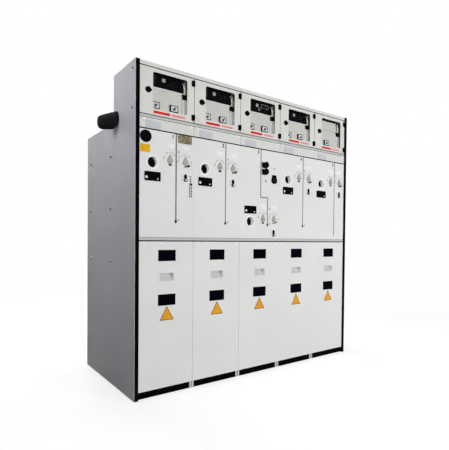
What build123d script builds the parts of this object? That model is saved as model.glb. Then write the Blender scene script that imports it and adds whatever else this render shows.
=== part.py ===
"""Five-bay gas insulated ring main unit: floor standing medium-voltage switchgear.

Frame: +Z up, the operating front faces -Y, +X runs to the right as seen from the front.
The origin is on the floor at the middle of the overall box.
"""

import math
import os

from build123d import *

os.makedirs("parts", exist_ok=True)

# Bays and cabinet
bay_count = 5
bay_pitch = 325.0
trim_width = 23.0
cabinet_depth = 765.0
lv_depth = 300.0
body_step = 11.0
sheet = 2.0
seat = 0.3

# Front, stacked from the floor up
plinth_height = 40.0
cover_height = 780.0
shadow_gap = 4.0
rail_height = 15.0
groove = 1.5
operating_height = 556.0
duct_height = 54.0
sill_height = 13.0
door_gap = 5.0
door_height = 240.5
header_height = 20.5

# Depths behind and in front of the panel faces
trim_lead = 5.0
trim_depth = 16.0
bay_seam = 1.5
button_reach = 26.0

# Base
rail_bar_width = 50.0
rail_bar_thickness = 5.0
rail_bar_inset = 35.0
anchor_radius = 7.0
anchor_inset = 150.0
foot_width = 28.0
foot_lead = 3.0
foot_depth = 15.0

# Inner structure
wall_thickness = 3.0
tank_floor_height = 855.0
tank_top_gap = 27.0
mechanism_depth = 150.0
tank_rear_gap = 25.0
tank_corner = 14.0

# Low-voltage compartment
divider_thickness = 4.0
door_depth = 12.0
mounting_depth = 31.0
mounting_width = 297.0
mounting_return = 22.0
relay_width = 190.0
relay_height = 72.0
relay_offset = 14.0
relay_bottom = 162.0
instrument_proud = 9.0
dial_width = 49.0
dial_height = 37.0
dial_bottom = 47.0
dial_offsets = (-61.0, 49.5)
spare_bay_dial_offset = -6.0
terminal_width = 26.0
terminal_height = 25.0
terminal_edge_gap = 9.0
terminal_bottom = 130.0

# Low-voltage doors, with their windows, locks and hinges
window_width = 205.0
window_height = 188.0
window_corner = 11.0
window_offset = 15.0
window_rise = 127.0
pane_lap = 6.0
pane_thickness = 3.0
lock_offset = -114.5
lock_rise = 123.0
lock_radius = 15.0
lock_nub = 6.5
lock_proud = 6.0
lock_barrel_radius = 9.0
cam_width = 9.0
cam_length = 34.0
hinge_height = 30.0
hinge_from_ends = 27.0
hinge_radius = 5.0
hinge_lead = 8.0
hinge_inset = 5.0
hinge_leaf_width = 7.0
hinge_leaf_thickness = 4.0
hinge_arm_thickness = 3.0
hinge_arm_reach = 20.0
pin_radius = 2.3
pin_clearance = 0.3
notch_width = 13.0
notch_margin = 3.0

# Cable compartment covers
cover_window_width = 105.0
cover_window_height = 60.0
cover_window_drops = (312.0, 76.0)
grip_width = 86.0
grip_height = 44.0
grip_drop = 190.0
grip_depth = 20.0
grip_wall = 1.5
grip_lip = 4.0

# Controls on the operating panels
well_radius = 28.0
well_wall = 2.0
well_depth = 27.0
well_lip = 7.5
well_lip_thickness = 2.0
indicator_width = 88.0
indicator_height = 47.0
indicator_corner = 4.0
indicator_proud = 7.0
shaft_cover_radius = 16.0
shaft_cover_rise = 33.0
shaft_cover_drop = 8.0
shaft_cover_proud = 6.0
lock_plate_width = 16.0
lock_plate_height = 27.0
lock_plate_proud = 4.0
key_radius = 9.0
key_proud = 9.0
key_drop = 18.5
button_side = 34.0
button_base_proud = 6.0
button_cap_radius = 19.5
button_cap_thickness = 8.0
button_stem_radius = 9.0
button_spacing = 41.5
button_travel = 6.0
socket_width = 31.0
socket_height = 33.0
socket_radius = 22.0
socket_bore_radius = 9.0
socket_proud = 8.0
socket_bore_depth = 4.0
gauge_radius = 31.0
gauge_proud = 8.0
gauge_rim = 4.0
gauge_glass_depth = 4.0

# Where the controls sit, from the middle of the bay and from the panel's lower edge
load_well_place = (-88.0, 388.5)
load_indicator_place = (-88.0, 316.0)
load_shaft_places = ((13.5, 415.5), (109.0, 415.5))
load_lock_place = (109.0, 332.5)
breaker_well_place = (-81.5, 103.5)
breaker_indicator_place = (-81.5, 176.0)
breaker_shaft_places = ((21.5, 127.5), (114.0, 127.5))
breaker_lock_place = (114.0, 41.0)
button_place = (29.5, 438.5)
socket_place = (112.5, 371.5)
gauge_place = (-127.5, 517.5)
breaker_bay = 2
spare_relay_bay = 4

# Rubber end caps over the busbar outlets on both sides
cap_above_sill = 28.5
cap_depth = 262.0
cap_length = 100.0
cap_base_radius = 38.5
cap_shoulder_radius = 46.5
cap_shoulder_reach = 17.0
cap_shoulder_droop = 15.0
cap_belly_radius = 43.0
cap_belly_reach = 52.0
cap_belly_droop = 26.0
cap_nose_radius = 34.0
cap_nose_reach = 90.0
cap_nose_droop = 35.0
cap_tip_radius = 18.0
cap_tip_droop = 27.0

# Overall places worked out from the sizes above
inner_width = bay_count * bay_pitch
cabinet_width = inner_width + 2 * trim_width
side_x = cabinet_width / 2
side_inner_x = side_x - sheet

front_lead = button_reach - trim_lead
trim_face_y = -(cabinet_depth - front_lead) / 2
panel_face_y = trim_face_y + trim_lead
panel_back_y = panel_face_y + sheet
trim_back_y = trim_face_y + trim_depth
kick_y = trim_back_y + seat
rear_y = trim_face_y + cabinet_depth
rear_inner_y = rear_y - sheet - seat
lv_back_y = trim_face_y + lv_depth
lv_inner_y = lv_back_y - sheet - seat

cover_bottom_z = plinth_height
cover_top_z = cover_bottom_z + cover_height
rail_bottom_z = cover_top_z + shadow_gap
rail_top_z = rail_bottom_z + rail_height
operating_bottom_z = rail_top_z + groove
operating_top_z = operating_bottom_z + operating_height
duct_bottom_z = operating_top_z + shadow_gap
duct_top_z = duct_bottom_z + duct_height
sill_bottom_z = duct_top_z + groove
sill_top_z = sill_bottom_z + sill_height
body_top_z = sill_top_z + body_step
tank_top_z = sill_top_z - sheet - tank_top_gap
door_bottom_z = sill_top_z + door_gap
door_top_z = door_bottom_z + door_height
header_bottom_z = door_top_z + door_gap
cabinet_height = header_bottom_z + header_height
roof_bottom_z = cabinet_height - sheet

panel_width = bay_pitch - bay_seam
door_width = bay_pitch - door_gap
door_back_y = panel_face_y + door_depth
divider_front_y = door_back_y + door_gap
hinge_y = panel_face_y - hinge_lead
mounting_y = panel_face_y + mounting_depth
hinge_levels = (door_bottom_z + hinge_from_ends, door_top_z - hinge_from_ends)
cover_window_levels = [cover_top_z - drop for drop in cover_window_drops]
grip_z = cover_top_z - grip_drop
cap_z = sill_top_z + cap_above_sill

load_bay_layout = {
    "well": load_well_place,
    "indicator": load_indicator_place,
    "shafts": load_shaft_places,
    "lock": load_lock_place,
}
breaker_bay_layout = {
    "well": breaker_well_place,
    "indicator": breaker_indicator_place,
    "shafts": breaker_shaft_places,
    "lock": breaker_lock_place,
}


def bay_x(bay):
    """Middle of a bay, counted from 0 at the left."""
    return (bay - (bay_count - 1) / 2) * bay_pitch


def boundary_x(index):
    """Boundary between two bays, from 0 at the left end to bay_count at the right end."""
    return (index - bay_count / 2) * bay_pitch


def front_plane(y):
    """Sketch plane facing the front at depth y, with X across and Z up."""
    return Plane(origin=(0, y, 0), x_dir=(1, 0, 0), z_dir=(0, -1, 0))


def slab(x_range, y_range, z_range, mode=Mode.ADD):
    """Flat bar or plate between two corners, added to the open part."""
    middle = [sum(pair) / 2 for pair in (x_range, y_range, z_range)]
    size = [pair[1] - pair[0] for pair in (x_range, y_range, z_range)]
    with Locations(tuple(middle)):
        Box(*size, mode=mode)


def finish(piece, label):
    """Labels a finished piece and writes its STEP file."""
    piece.part.label = label
    export_step(piece.part, f"parts/{label}.step")


def layout(bay):
    """Places of the controls on one bay's operating panel."""
    return breaker_bay_layout if bay == breaker_bay else load_bay_layout


def on_panel(bay, place):
    """Front-plane coordinates of a control on a bay's operating panel."""
    return (bay_x(bay) + place[0], operating_bottom_z + place[1])


def bay_span(bay):
    """Clear width of a bay behind its front, between its walls or the side panel."""
    left = boundary_x(bay) + wall_thickness / 2 + seat
    right = boundary_x(bay + 1) - wall_thickness / 2 - seat
    if bay == 0:
        left = -side_inner_x + seat
    if bay == bay_count - 1:
        right = side_inner_x - seat
    return (left, right)


def kick_span(bay):
    """Clear width of a bay's kick plate, between its feet or up to the side panel."""
    left, right = bay_span(bay)
    foot_reach = (foot_width - wall_thickness) / 2
    if bay > 0:
        left += foot_reach
    if bay < bay_count - 1:
        right -= foot_reach
    return (left, right)


# Base rails that carry the cabinet, with anchor holes
for rail_name, rail_y in (
    ("base_rail_front", panel_face_y + rail_bar_inset + rail_bar_width / 2),
    ("base_rail_rear", rear_y - rail_bar_inset - rail_bar_width / 2),
):
    with BuildPart() as base_rail:
        with BuildSketch(Plane.XY):
            with Locations((0, rail_y)):
                Rectangle(2 * (side_inner_x - seat), rail_bar_width)
            with Locations((-side_x + anchor_inset, rail_y), (side_x - anchor_inset, rail_y)):
                Circle(anchor_radius, mode=Mode.SUBTRACT)
        extrude(amount=rail_bar_thickness)
    finish(base_rail, rail_name)

# Kick plates under the covers, between the feet
with BuildPart() as kick_plates:
    for bay in range(bay_count):
        slab(kick_span(bay), (kick_y, kick_y + sheet), (0, plinth_height - sheet - 2 * seat))
finish(kick_plates, "kick_plates")

# Floor plates of the cable compartments
with BuildPart() as floor_plates:
    for bay in range(bay_count):
        slab(
            bay_span(bay),
            (trim_back_y + seat, rear_inner_y - seat),
            (plinth_height - sheet - seat, plinth_height - seat),
        )
finish(floor_plates, "floor_plates")

# Walls between the bays, deep under the tank and shallow in front of it, each with a front foot
with BuildPart() as bay_walls:
    for index in range(1, bay_count):
        wall_plane = Plane(
            origin=(boundary_x(index) - wall_thickness / 2, 0, 0), x_dir=(0, 1, 0), z_dir=(1, 0, 0)
        )
        with BuildSketch(wall_plane):
            with BuildLine():
                Polyline(
                    (panel_back_y + seat, rail_bar_thickness),
                    (rear_inner_y, rail_bar_thickness),
                    (rear_inner_y, tank_floor_height),
                    (panel_back_y + mechanism_depth, tank_floor_height),
                    (panel_back_y + mechanism_depth, sill_top_z - sheet - seat),
                    (panel_back_y + seat, sill_top_z - sheet - seat),
                    close=True,
                )
            make_face()
        extrude(amount=wall_thickness)
        slab(
            (boundary_x(index) - foot_width / 2, boundary_x(index) + foot_width / 2),
            (kick_y - foot_lead, kick_y + foot_depth),
            (0, plinth_height - sheet - 2 * seat),
        )
finish(bay_walls, "bay_walls")

# Side panels, with the step behind the low-voltage compartment
for side, side_name in ((-1, "side_panel_left"), (1, "side_panel_right")):
    panel_plane = Plane(
        origin=(side_x - sheet if side > 0 else -side_x, 0, 0), x_dir=(0, 1, 0), z_dir=(1, 0, 0)
    )
    with BuildPart() as side_panel:
        with BuildSketch(panel_plane):
            with BuildLine():
                Polyline(
                    (trim_face_y + groove, 0),
                    (rear_y, 0),
                    (rear_y, body_top_z),
                    (lv_back_y, body_top_z),
                    (lv_back_y, cabinet_height),
                    (trim_face_y + groove, cabinet_height),
                    close=True,
                )
            make_face()
        extrude(amount=sheet)
    finish(side_panel, side_name)

# Black corner trims
for side, side_name in ((-1, "front_trim_left"), (1, "front_trim_right")):
    outer_x = side * (side_inner_x - seat)
    inner_x = side * inner_width / 2
    with BuildPart() as front_trim:
        slab(
            (min(outer_x, inner_x), max(outer_x, inner_x)),
            (trim_face_y, trim_back_y),
            (0, cabinet_height),
        )
    finish(front_trim, side_name)

# Rear covers
with BuildPart() as rear_covers:
    for bay in range(bay_count):
        left = boundary_x(bay) + bay_seam / 2
        right = boundary_x(bay + 1) - bay_seam / 2
        if bay == 0:
            left = -side_inner_x + seat
        if bay == bay_count - 1:
            right = side_inner_x - seat
        slab((left, right), (rear_y - sheet, rear_y), (rail_bar_thickness, body_top_z - sheet - seat))
finish(rear_covers, "rear_covers")

# Cover over the rear of the body
with BuildPart() as top_cover:
    slab(
        (-side_inner_x + seat, side_inner_x - seat),
        (lv_back_y + seat, rear_y),
        (body_top_z - sheet, body_top_z),
    )
finish(top_cover, "top_cover")

# Sealed gas tank behind the operating mechanisms
with BuildPart() as gas_tank:
    with BuildSketch(Plane.XY.offset(tank_floor_height)):
        tank_front_y = panel_back_y + mechanism_depth + seat
        tank_rear_y = rear_inner_y - tank_rear_gap
        with Locations((0, (tank_front_y + tank_rear_y) / 2)):
            RectangleRounded(2 * (side_inner_x - seat), tank_rear_y - tank_front_y, tank_corner)
    extrude(amount=tank_top_z - tank_floor_height)
finish(gas_tank, "gas_tank")

# Rail between the cable covers and the operating panels
with BuildPart() as mid_rail:
    slab(
        (-inner_width / 2 + seat, inner_width / 2 - seat),
        (panel_face_y, panel_back_y),
        (rail_bottom_z, rail_top_z),
    )
finish(mid_rail, "mid_rail")

# Middles of the close button, above, and the open button, below
button_middles = [
    on_panel(breaker_bay, (button_place[0], button_place[1] + rise))
    for rise in (button_spacing / 2, -button_spacing / 2)
]

# Operating panels, one to a bay
for bay in range(bay_count):
    with BuildPart() as operating_panel:
        with BuildSketch(front_plane(panel_back_y)):
            with Locations((bay_x(bay), (operating_bottom_z + operating_top_z) / 2)):
                Rectangle(panel_width, operating_height)
            with Locations(on_panel(bay, layout(bay)["well"])):
                Circle(well_radius + well_wall + seat, mode=Mode.SUBTRACT)
            if bay == breaker_bay:
                with Locations(*button_middles):
                    Circle(button_stem_radius + 2 * seat, mode=Mode.SUBTRACT)
        extrude(amount=sheet)
    finish(operating_panel, f"operating_panel_{bay + 1}")

# Covers of the cable duct above the operating panels
with BuildPart() as duct_covers:
    with BuildSketch(front_plane(panel_back_y)):
        for bay in range(bay_count):
            with Locations((bay_x(bay), (duct_bottom_z + duct_top_z) / 2)):
                Rectangle(panel_width, duct_height)
    extrude(amount=sheet)
finish(duct_covers, "duct_covers")

# Floor of the low-voltage compartment, with its front lip
with BuildPart() as lv_sill:
    slab(
        (-inner_width / 2 + seat, inner_width / 2 - seat),
        (panel_face_y, panel_back_y),
        (sill_bottom_z, sill_top_z),
    )
    slab(
        (-inner_width / 2 + seat, inner_width / 2 - seat),
        (panel_face_y, lv_inner_y),
        (sill_top_z - sheet, sill_top_z),
    )
    slab(
        (-side_inner_x + seat, side_inner_x - seat),
        (trim_back_y + seat, lv_inner_y),
        (sill_top_z - sheet, sill_top_z),
    )
finish(lv_sill, "lv_sill")

# Roof of the low-voltage compartment, with the header band
with BuildPart() as lv_roof:
    slab(
        (-inner_width / 2 + seat, inner_width / 2 - seat),
        (panel_face_y, panel_back_y),
        (header_bottom_z, cabinet_height),
    )
    slab(
        (-inner_width / 2 + seat, inner_width / 2 - seat),
        (panel_face_y, lv_back_y),
        (roof_bottom_z, cabinet_height),
    )
    slab(
        (-side_inner_x + seat, side_inner_x - seat),
        (trim_back_y + seat, lv_back_y),
        (roof_bottom_z, cabinet_height),
    )
finish(lv_roof, "lv_roof")

# Rear wall of the low-voltage compartment
with BuildPart() as lv_rear_wall:
    slab(
        (-side_inner_x + seat, side_inner_x - seat),
        (lv_back_y - sheet, lv_back_y),
        (sill_top_z - sheet, roof_bottom_z - seat),
    )
finish(lv_rear_wall, "lv_rear_wall")


def divider_x(index):
    """Middle of a low-voltage divider, with the end ones kept inside the trims."""
    limit = (inner_width - divider_thickness) / 2
    return max(-limit, min(limit, boundary_x(index)))


def divider_left_x(bay):
    """Inner face of the divider at the left of a bay."""
    return divider_x(bay) + divider_thickness / 2


def divider_right_x(bay):
    """Inner face of the divider at the right of a bay."""
    return divider_x(bay + 1) - divider_thickness / 2


# Dividers of the low-voltage compartment
with BuildPart() as lv_dividers:
    for index in range(bay_count + 1):
        slab(
            (divider_x(index) - divider_thickness / 2, divider_x(index) + divider_thickness / 2),
            (divider_front_y, lv_inner_y),
            (sill_top_z + seat, roof_bottom_z - seat),
        )
finish(lv_dividers, "lv_dividers")

# Mounting plates behind the doors, folded back along the right edge
with BuildPart() as lv_mounting_plates:
    for bay in range(bay_count):
        left = divider_left_x(bay) + seat
        slab(
            (left, left + mounting_width),
            (mounting_y, mounting_y + sheet),
            (sill_top_z + seat, roof_bottom_z - seat),
        )
        slab(
            (left + mounting_width - sheet, left + mounting_width),
            (mounting_y, mounting_y + mounting_return),
            (sill_top_z + seat, roof_bottom_z - seat),
        )
finish(lv_mounting_plates, "lv_mounting_plates")


def instrument(middle_x, bottom, width, height):
    """Housing of an instrument that stands proud of the mounting plate."""
    slab(
        (middle_x - width / 2, middle_x + width / 2),
        (mounting_y - instrument_proud, mounting_y - seat),
        (sill_top_z + bottom, sill_top_z + bottom + height),
    )


# Protection relays, square rotary switches and terminal blocks
with BuildPart() as lv_instruments:
    for bay in range(bay_count):
        if bay == spare_relay_bay:
            instrument(bay_x(bay) + spare_bay_dial_offset, dial_bottom, dial_width, dial_height)
        else:
            instrument(bay_x(bay) + relay_offset, relay_bottom, relay_width, relay_height)
            for offset in dial_offsets:
                instrument(bay_x(bay) + offset, dial_bottom, dial_width, dial_height)
        plate_right_x = divider_left_x(bay) + seat + mounting_width
        terminal_x = plate_right_x - terminal_edge_gap - terminal_width / 2
        instrument(terminal_x, terminal_bottom, terminal_width, terminal_height)
finish(lv_instruments, "lv_instruments")


# Low-voltage doors: folded trays with a window, hung on the right
for bay in range(bay_count):
    door_middle = (bay_x(bay), (door_bottom_z + door_top_z) / 2)
    window_middle = (bay_x(bay) + window_offset, door_bottom_z + window_rise)
    lock_middle = (bay_x(bay) + lock_offset, door_bottom_z + lock_rise)
    with BuildPart() as lv_door:
        with BuildSketch(front_plane(door_back_y)):
            with Locations(door_middle):
                Rectangle(door_width, door_height)
        extrude(amount=door_depth)
        with BuildSketch(front_plane(door_back_y)):
            with Locations(door_middle):
                Rectangle(door_width - 2 * sheet, door_height - 2 * sheet)
        extrude(amount=door_depth - sheet, mode=Mode.SUBTRACT)
        with BuildSketch(front_plane(panel_back_y)):
            with Locations(window_middle):
                RectangleRounded(window_width, window_height, window_corner)
            with Locations(lock_middle):
                Circle(lock_barrel_radius + seat)
            for level in hinge_levels:
                with Locations((boundary_x(bay + 1) - notch_width / 2, level)):
                    Rectangle(notch_width, hinge_height + 2 * notch_margin)
        extrude(amount=2 * sheet, mode=Mode.SUBTRACT)
        with BuildSketch(front_plane(door_back_y)):
            for level in hinge_levels:
                with Locations((boundary_x(bay + 1) - notch_width / 2, level)):
                    Rectangle(notch_width, hinge_height + 2 * notch_margin)
        extrude(amount=door_depth, mode=Mode.SUBTRACT)
    finish(lv_door, f"lv_door_{bay + 1}")

    with BuildPart() as lv_window:
        with BuildSketch(front_plane(panel_back_y + pane_thickness)):
            with Locations(window_middle):
                Rectangle(window_width + 2 * pane_lap, window_height + 2 * pane_lap)
        extrude(amount=pane_thickness)
    finish(lv_window, f"lv_window_{bay + 1}")

    with BuildPart() as lv_door_fittings:
        # Lock rose with its pointed nub, the barrel and the cam
        nub_angle = math.acos(lock_radius / (lock_radius + lock_nub))
        with BuildSketch(front_plane(panel_face_y)):
            with BuildLine(Location((lock_middle[0], lock_middle[1], 0))):
                upper = (lock_radius * math.cos(nub_angle), lock_radius * math.sin(nub_angle))
                lower = (upper[0], -upper[1])
                ThreePointArc(upper, (-lock_radius, 0), lower)
                Polyline(lower, (lock_radius + lock_nub, 0), upper)
            make_face()
        extrude(amount=lock_proud)
        with BuildSketch(front_plane(door_back_y - sheet)):
            with Locations(lock_middle):
                Circle(lock_barrel_radius)
        extrude(amount=door_depth - sheet)
        with BuildSketch(front_plane(door_back_y - sheet / 2)):
            with Locations(lock_middle):
                Rectangle(cam_width, cam_length)
        extrude(amount=sheet)
        # Hinge leaves on the door, with the lower half of each knuckle
        hinge_x = boundary_x(bay + 1) - hinge_inset
        leaf_right_x = hinge_x - hinge_radius - 2 * seat
        for level in hinge_levels:
            bottom = level - hinge_height / 2
            half_top = level - seat
            slab(
                (leaf_right_x - hinge_leaf_width, leaf_right_x),
                (panel_face_y - hinge_leaf_thickness, panel_face_y),
                (bottom, level + hinge_height / 2),
            )
            slab(
                (leaf_right_x - seat, hinge_x),
                (hinge_y, panel_face_y - hinge_leaf_thickness / 2),
                (bottom, half_top),
            )
            with BuildSketch(Plane.XY.offset(bottom)):
                with Locations((hinge_x, hinge_y)):
                    Circle(hinge_radius)
            extrude(amount=half_top - bottom)
            with BuildSketch(Plane.XY.offset(bottom)):
                with Locations((hinge_x, hinge_y)):
                    Circle(pin_radius + pin_clearance)
            extrude(amount=half_top - bottom, mode=Mode.SUBTRACT)
    finish(lv_door_fittings, f"lv_door_fittings_{bay + 1}")

# Fixed halves of the door hinges, on arms along the dividers
with BuildPart() as hinge_brackets:
    for bay in range(bay_count):
        hinge_x = boundary_x(bay + 1) - hinge_inset
        arm_right_x = divider_right_x(bay) - seat
        for level in hinge_levels:
            half_bottom = level + seat
            top = level + hinge_height / 2
            bottom = level - hinge_height / 2
            slab(
                (min(arm_right_x - hinge_arm_thickness, hinge_x), arm_right_x),
                (hinge_y, divider_front_y + hinge_arm_reach),
                (half_bottom, top),
            )
            with BuildSketch(Plane.XY.offset(half_bottom)):
                with Locations((hinge_x, hinge_y)):
                    Circle(hinge_radius)
            extrude(amount=top - half_bottom)
            with BuildSketch(Plane.XY.offset(bottom)):
                with Locations((hinge_x, hinge_y)):
                    Circle(pin_radius)
            extrude(amount=top - bottom)
finish(hinge_brackets, "hinge_brackets")

# Covers of the cable compartments, with two windows and a recessed grip
for bay in range(bay_count):
    with BuildPart() as cable_cover:
        with BuildSketch(front_plane(panel_back_y)):
            with Locations((bay_x(bay), (cover_bottom_z + cover_top_z) / 2)):
                Rectangle(panel_width, cover_height)
            for level in cover_window_levels:
                with Locations((bay_x(bay), level)):
                    Rectangle(cover_window_width, cover_window_height, mode=Mode.SUBTRACT)
            with Locations((bay_x(bay), grip_z)):
                Rectangle(grip_width + 2 * seat, grip_height + 2 * seat, mode=Mode.SUBTRACT)
        extrude(amount=sheet)
    finish(cable_cover, f"cable_cover_{bay + 1}")

# Panes behind the cover windows
with BuildPart() as cover_windows:
    with BuildSketch(front_plane(panel_back_y + pane_thickness)):
        for bay in range(bay_count):
            for level in cover_window_levels:
                with Locations((bay_x(bay), level)):
                    Rectangle(cover_window_width + 2 * pane_lap, cover_window_height + 2 * pane_lap)
    extrude(amount=pane_thickness)
finish(cover_windows, "cover_windows")

# Recessed grips in the covers
with BuildPart() as grip_cups:
    for bay in range(bay_count):
        grip_middle = (bay_x(bay), grip_z)
        with BuildSketch(front_plane(panel_face_y)):
            with Locations(grip_middle):
                Rectangle(grip_width + 2 * grip_lip, grip_height + 2 * grip_lip)
        extrude(amount=grip_wall)
        with BuildSketch(front_plane(panel_face_y + grip_depth)):
            with Locations(grip_middle):
                Rectangle(grip_width, grip_height)
        extrude(amount=grip_depth)
        with BuildSketch(front_plane(panel_face_y + grip_depth - grip_wall)):
            with Locations(grip_middle):
                Rectangle(grip_width - 2 * grip_wall, grip_height - 2 * grip_wall)
        extrude(amount=grip_depth + grip_wall, mode=Mode.SUBTRACT)
finish(grip_cups, "grip_cups")

# Sight wells through the operating panels
with BuildPart() as sight_wells:
    for bay in range(bay_count):
        well_middle = on_panel(bay, layout(bay)["well"])
        with BuildSketch(front_plane(panel_face_y)):
            with Locations(well_middle):
                Circle(well_radius + well_wall + well_lip)
        extrude(amount=well_lip_thickness)
        with BuildSketch(front_plane(panel_face_y + well_depth)):
            with Locations(well_middle):
                Circle(well_radius + well_wall)
        extrude(amount=well_depth)
        with BuildSketch(front_plane(panel_face_y + well_depth - well_wall)):
            with Locations(well_middle):
                Circle(well_radius)
        extrude(amount=well_depth + well_wall, mode=Mode.SUBTRACT)
finish(sight_wells, "sight_wells")

# Voltage indicator units
with BuildPart() as voltage_indicators:
    with BuildSketch(front_plane(panel_face_y)):
        for bay in range(bay_count):
            with Locations(on_panel(bay, layout(bay)["indicator"])):
                RectangleRounded(indicator_width, indicator_height, indicator_corner)
    extrude(amount=indicator_proud)
finish(voltage_indicators, "voltage_indicators")

# Pointed covers over the two drive shafts of each bay
with BuildPart() as shaft_covers:
    side_angle = math.asin(shaft_cover_radius / shaft_cover_rise)
    shoulder = (shaft_cover_radius * math.cos(side_angle), shaft_cover_radius * math.sin(side_angle))
    for bay in range(bay_count):
        for place in layout(bay)["shafts"]:
            x, z = on_panel(bay, place)
            with BuildSketch(front_plane(panel_face_y)):
                with BuildLine(Location((x, z - shaft_cover_drop, 0))):
                    ThreePointArc(shoulder, (0, -shaft_cover_radius), (-shoulder[0], shoulder[1]))
                    Polyline((-shoulder[0], shoulder[1]), (0, shaft_cover_rise), shoulder)
                make_face()
            extrude(amount=shaft_cover_proud)
finish(shaft_covers, "shaft_covers")

# Interlock key switches
with BuildPart() as key_locks:
    with BuildSketch(front_plane(panel_face_y)):
        for bay in range(bay_count):
            with Locations(on_panel(bay, layout(bay)["lock"])):
                SlotOverall(lock_plate_height, lock_plate_width, rotation=90)
    extrude(amount=lock_plate_proud)
    with BuildSketch(front_plane(panel_face_y)):
        for bay in range(bay_count):
            x, z = on_panel(bay, layout(bay)["lock"])
            with Locations((x, z - key_drop)):
                Circle(key_radius)
    extrude(amount=key_proud)
finish(key_locks, "key_locks")

# Push button bases and spring charging socket of the breaker bay
with BuildPart() as breaker_controls:
    with BuildSketch(front_plane(panel_face_y)):
        with Locations(*button_middles):
            Rectangle(button_side, button_side)
        with Locations(*button_middles):
            Circle(button_stem_radius + 2 * seat, mode=Mode.SUBTRACT)
    extrude(amount=button_base_proud)
    socket_x, socket_z = on_panel(breaker_bay, socket_place)
    with BuildSketch(front_plane(panel_face_y)):
        with Locations((socket_x, socket_z + socket_height / 2)):
            Rectangle(socket_width, socket_height)
        with Locations((socket_x, socket_z)):
            Circle(socket_radius)
    extrude(amount=socket_proud)
    with BuildSketch(front_plane(panel_face_y - socket_proud + socket_bore_depth)):
        with Locations((socket_x, socket_z)):
            Circle(socket_bore_radius)
    extrude(amount=socket_proud, mode=Mode.SUBTRACT)
finish(breaker_controls, "breaker_controls")

# Close and open push buttons, with stems guided in the panel
stem_end_y = panel_back_y + button_travel
for button_name, middle in zip(("close_button", "open_button"), button_middles):
    with BuildPart() as push_button:
        with BuildSketch(front_plane(stem_end_y)):
            with Locations(middle):
                Circle(button_stem_radius)
        extrude(amount=stem_end_y - panel_face_y + button_reach - button_cap_thickness / 2)
        with BuildSketch(front_plane(panel_face_y - button_reach + button_cap_thickness)):
            with Locations(middle):
                Circle(button_cap_radius - seat)
        extrude(amount=button_cap_thickness)
    finish(push_button, button_name)

# Gas pressure gauge on the first bay
with BuildPart() as pressure_gauge:
    gauge_middle = on_panel(0, gauge_place)
    with BuildSketch(front_plane(panel_face_y)):
        with Locations(gauge_middle):
            Circle(gauge_radius)
    extrude(amount=gauge_proud)
    with BuildSketch(front_plane(panel_face_y - gauge_proud + gauge_glass_depth)):
        with Locations(gauge_middle):
            Circle(gauge_radius - gauge_rim)
    extrude(amount=gauge_proud, mode=Mode.SUBTRACT)
finish(pressure_gauge, "pressure_gauge")

# Rubber end caps, drooping outwards from the sides
for side, cap_name in ((-1, "end_cap_left"), (1, "end_cap_right")):
    cap_stations = (
        (0.0, cap_base_radius, 0.0),
        (cap_shoulder_reach, cap_shoulder_radius, cap_shoulder_droop),
        (cap_belly_reach, cap_belly_radius, cap_belly_droop),
        (cap_nose_reach, cap_nose_radius, cap_nose_droop),
        (cap_length, cap_tip_radius, cap_tip_droop),
    )
    with BuildPart() as end_cap:
        for reach, radius, droop in cap_stations:
            station = Plane(
                origin=(side * (side_x + reach), trim_face_y + cap_depth, cap_z - droop),
                x_dir=(0, 1, 0),
                z_dir=(side, 0, 0),
            )
            with BuildSketch(station):
                Circle(radius)
        loft()
    finish(end_cap, cap_name)
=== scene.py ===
"""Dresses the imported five-bay ring main unit: finishes, prints, controls, fixings and the studio.

The scene is in metres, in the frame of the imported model: +Z up, the operating front faces -Y, and
the origin is on the floor at the middle of the box. Sizes and places below are in millimetres, and
MM turns them into metres where a mesh is made.
"""

import logging
import math
from collections.abc import Callable, Iterable
from dataclasses import dataclass, field, replace
from enum import Enum

import bmesh
import bpy
from mathutils import Matrix, Vector


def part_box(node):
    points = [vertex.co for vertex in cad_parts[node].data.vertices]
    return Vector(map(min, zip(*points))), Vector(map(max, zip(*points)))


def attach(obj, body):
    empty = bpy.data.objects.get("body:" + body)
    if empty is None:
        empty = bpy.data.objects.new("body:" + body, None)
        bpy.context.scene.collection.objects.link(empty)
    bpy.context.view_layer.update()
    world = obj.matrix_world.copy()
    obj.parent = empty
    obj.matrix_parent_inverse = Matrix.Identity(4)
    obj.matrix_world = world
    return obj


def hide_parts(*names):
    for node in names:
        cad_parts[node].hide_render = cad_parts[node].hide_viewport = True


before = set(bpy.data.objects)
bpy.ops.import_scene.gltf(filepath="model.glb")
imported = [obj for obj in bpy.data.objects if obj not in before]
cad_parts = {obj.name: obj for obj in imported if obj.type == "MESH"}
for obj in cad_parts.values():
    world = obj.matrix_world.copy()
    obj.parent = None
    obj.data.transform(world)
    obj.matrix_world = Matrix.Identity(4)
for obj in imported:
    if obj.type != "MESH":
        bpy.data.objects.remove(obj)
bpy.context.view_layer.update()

MM = 0.001
CABINET = "cabinet"
BAY_COUNT = 5
BREAKER_BAY = 3
SPARE_RELAY_BAY = 5

log = logging.getLogger("switchgear")

Piece = bpy.types.Object
Pair = tuple[float, float]
Triple = tuple[float, float, float]
Profile = tuple[Pair, ...]
Tone = tuple[int, int, int]


def srgb(red: int, green: int, blue: int) -> tuple[float, float, float, float]:
    """Linear colour with full alpha from the usual 0 to 255 numbers."""
    shares = [value / 255 for value in (red, green, blue)]
    linear = [s / 12.92 if s <= 0.04045 else ((s + 0.055) / 1.055) ** 2.4 for s in shares]
    return (*linear, 1.0)


def metres(x: float, y: float, z: float) -> Vector:
    """A place in metres from millimetres."""
    return Vector((x, y, z)) * MM


def corners(node: str) -> tuple[Vector, Vector]:
    """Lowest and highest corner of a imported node, in millimetres."""
    low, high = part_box(node)
    return low / MM, high / MM


def span(middle: float, size: float) -> Pair:
    """Both ends of a length about its middle."""
    return (middle - size / 2, middle + size / 2)


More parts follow.
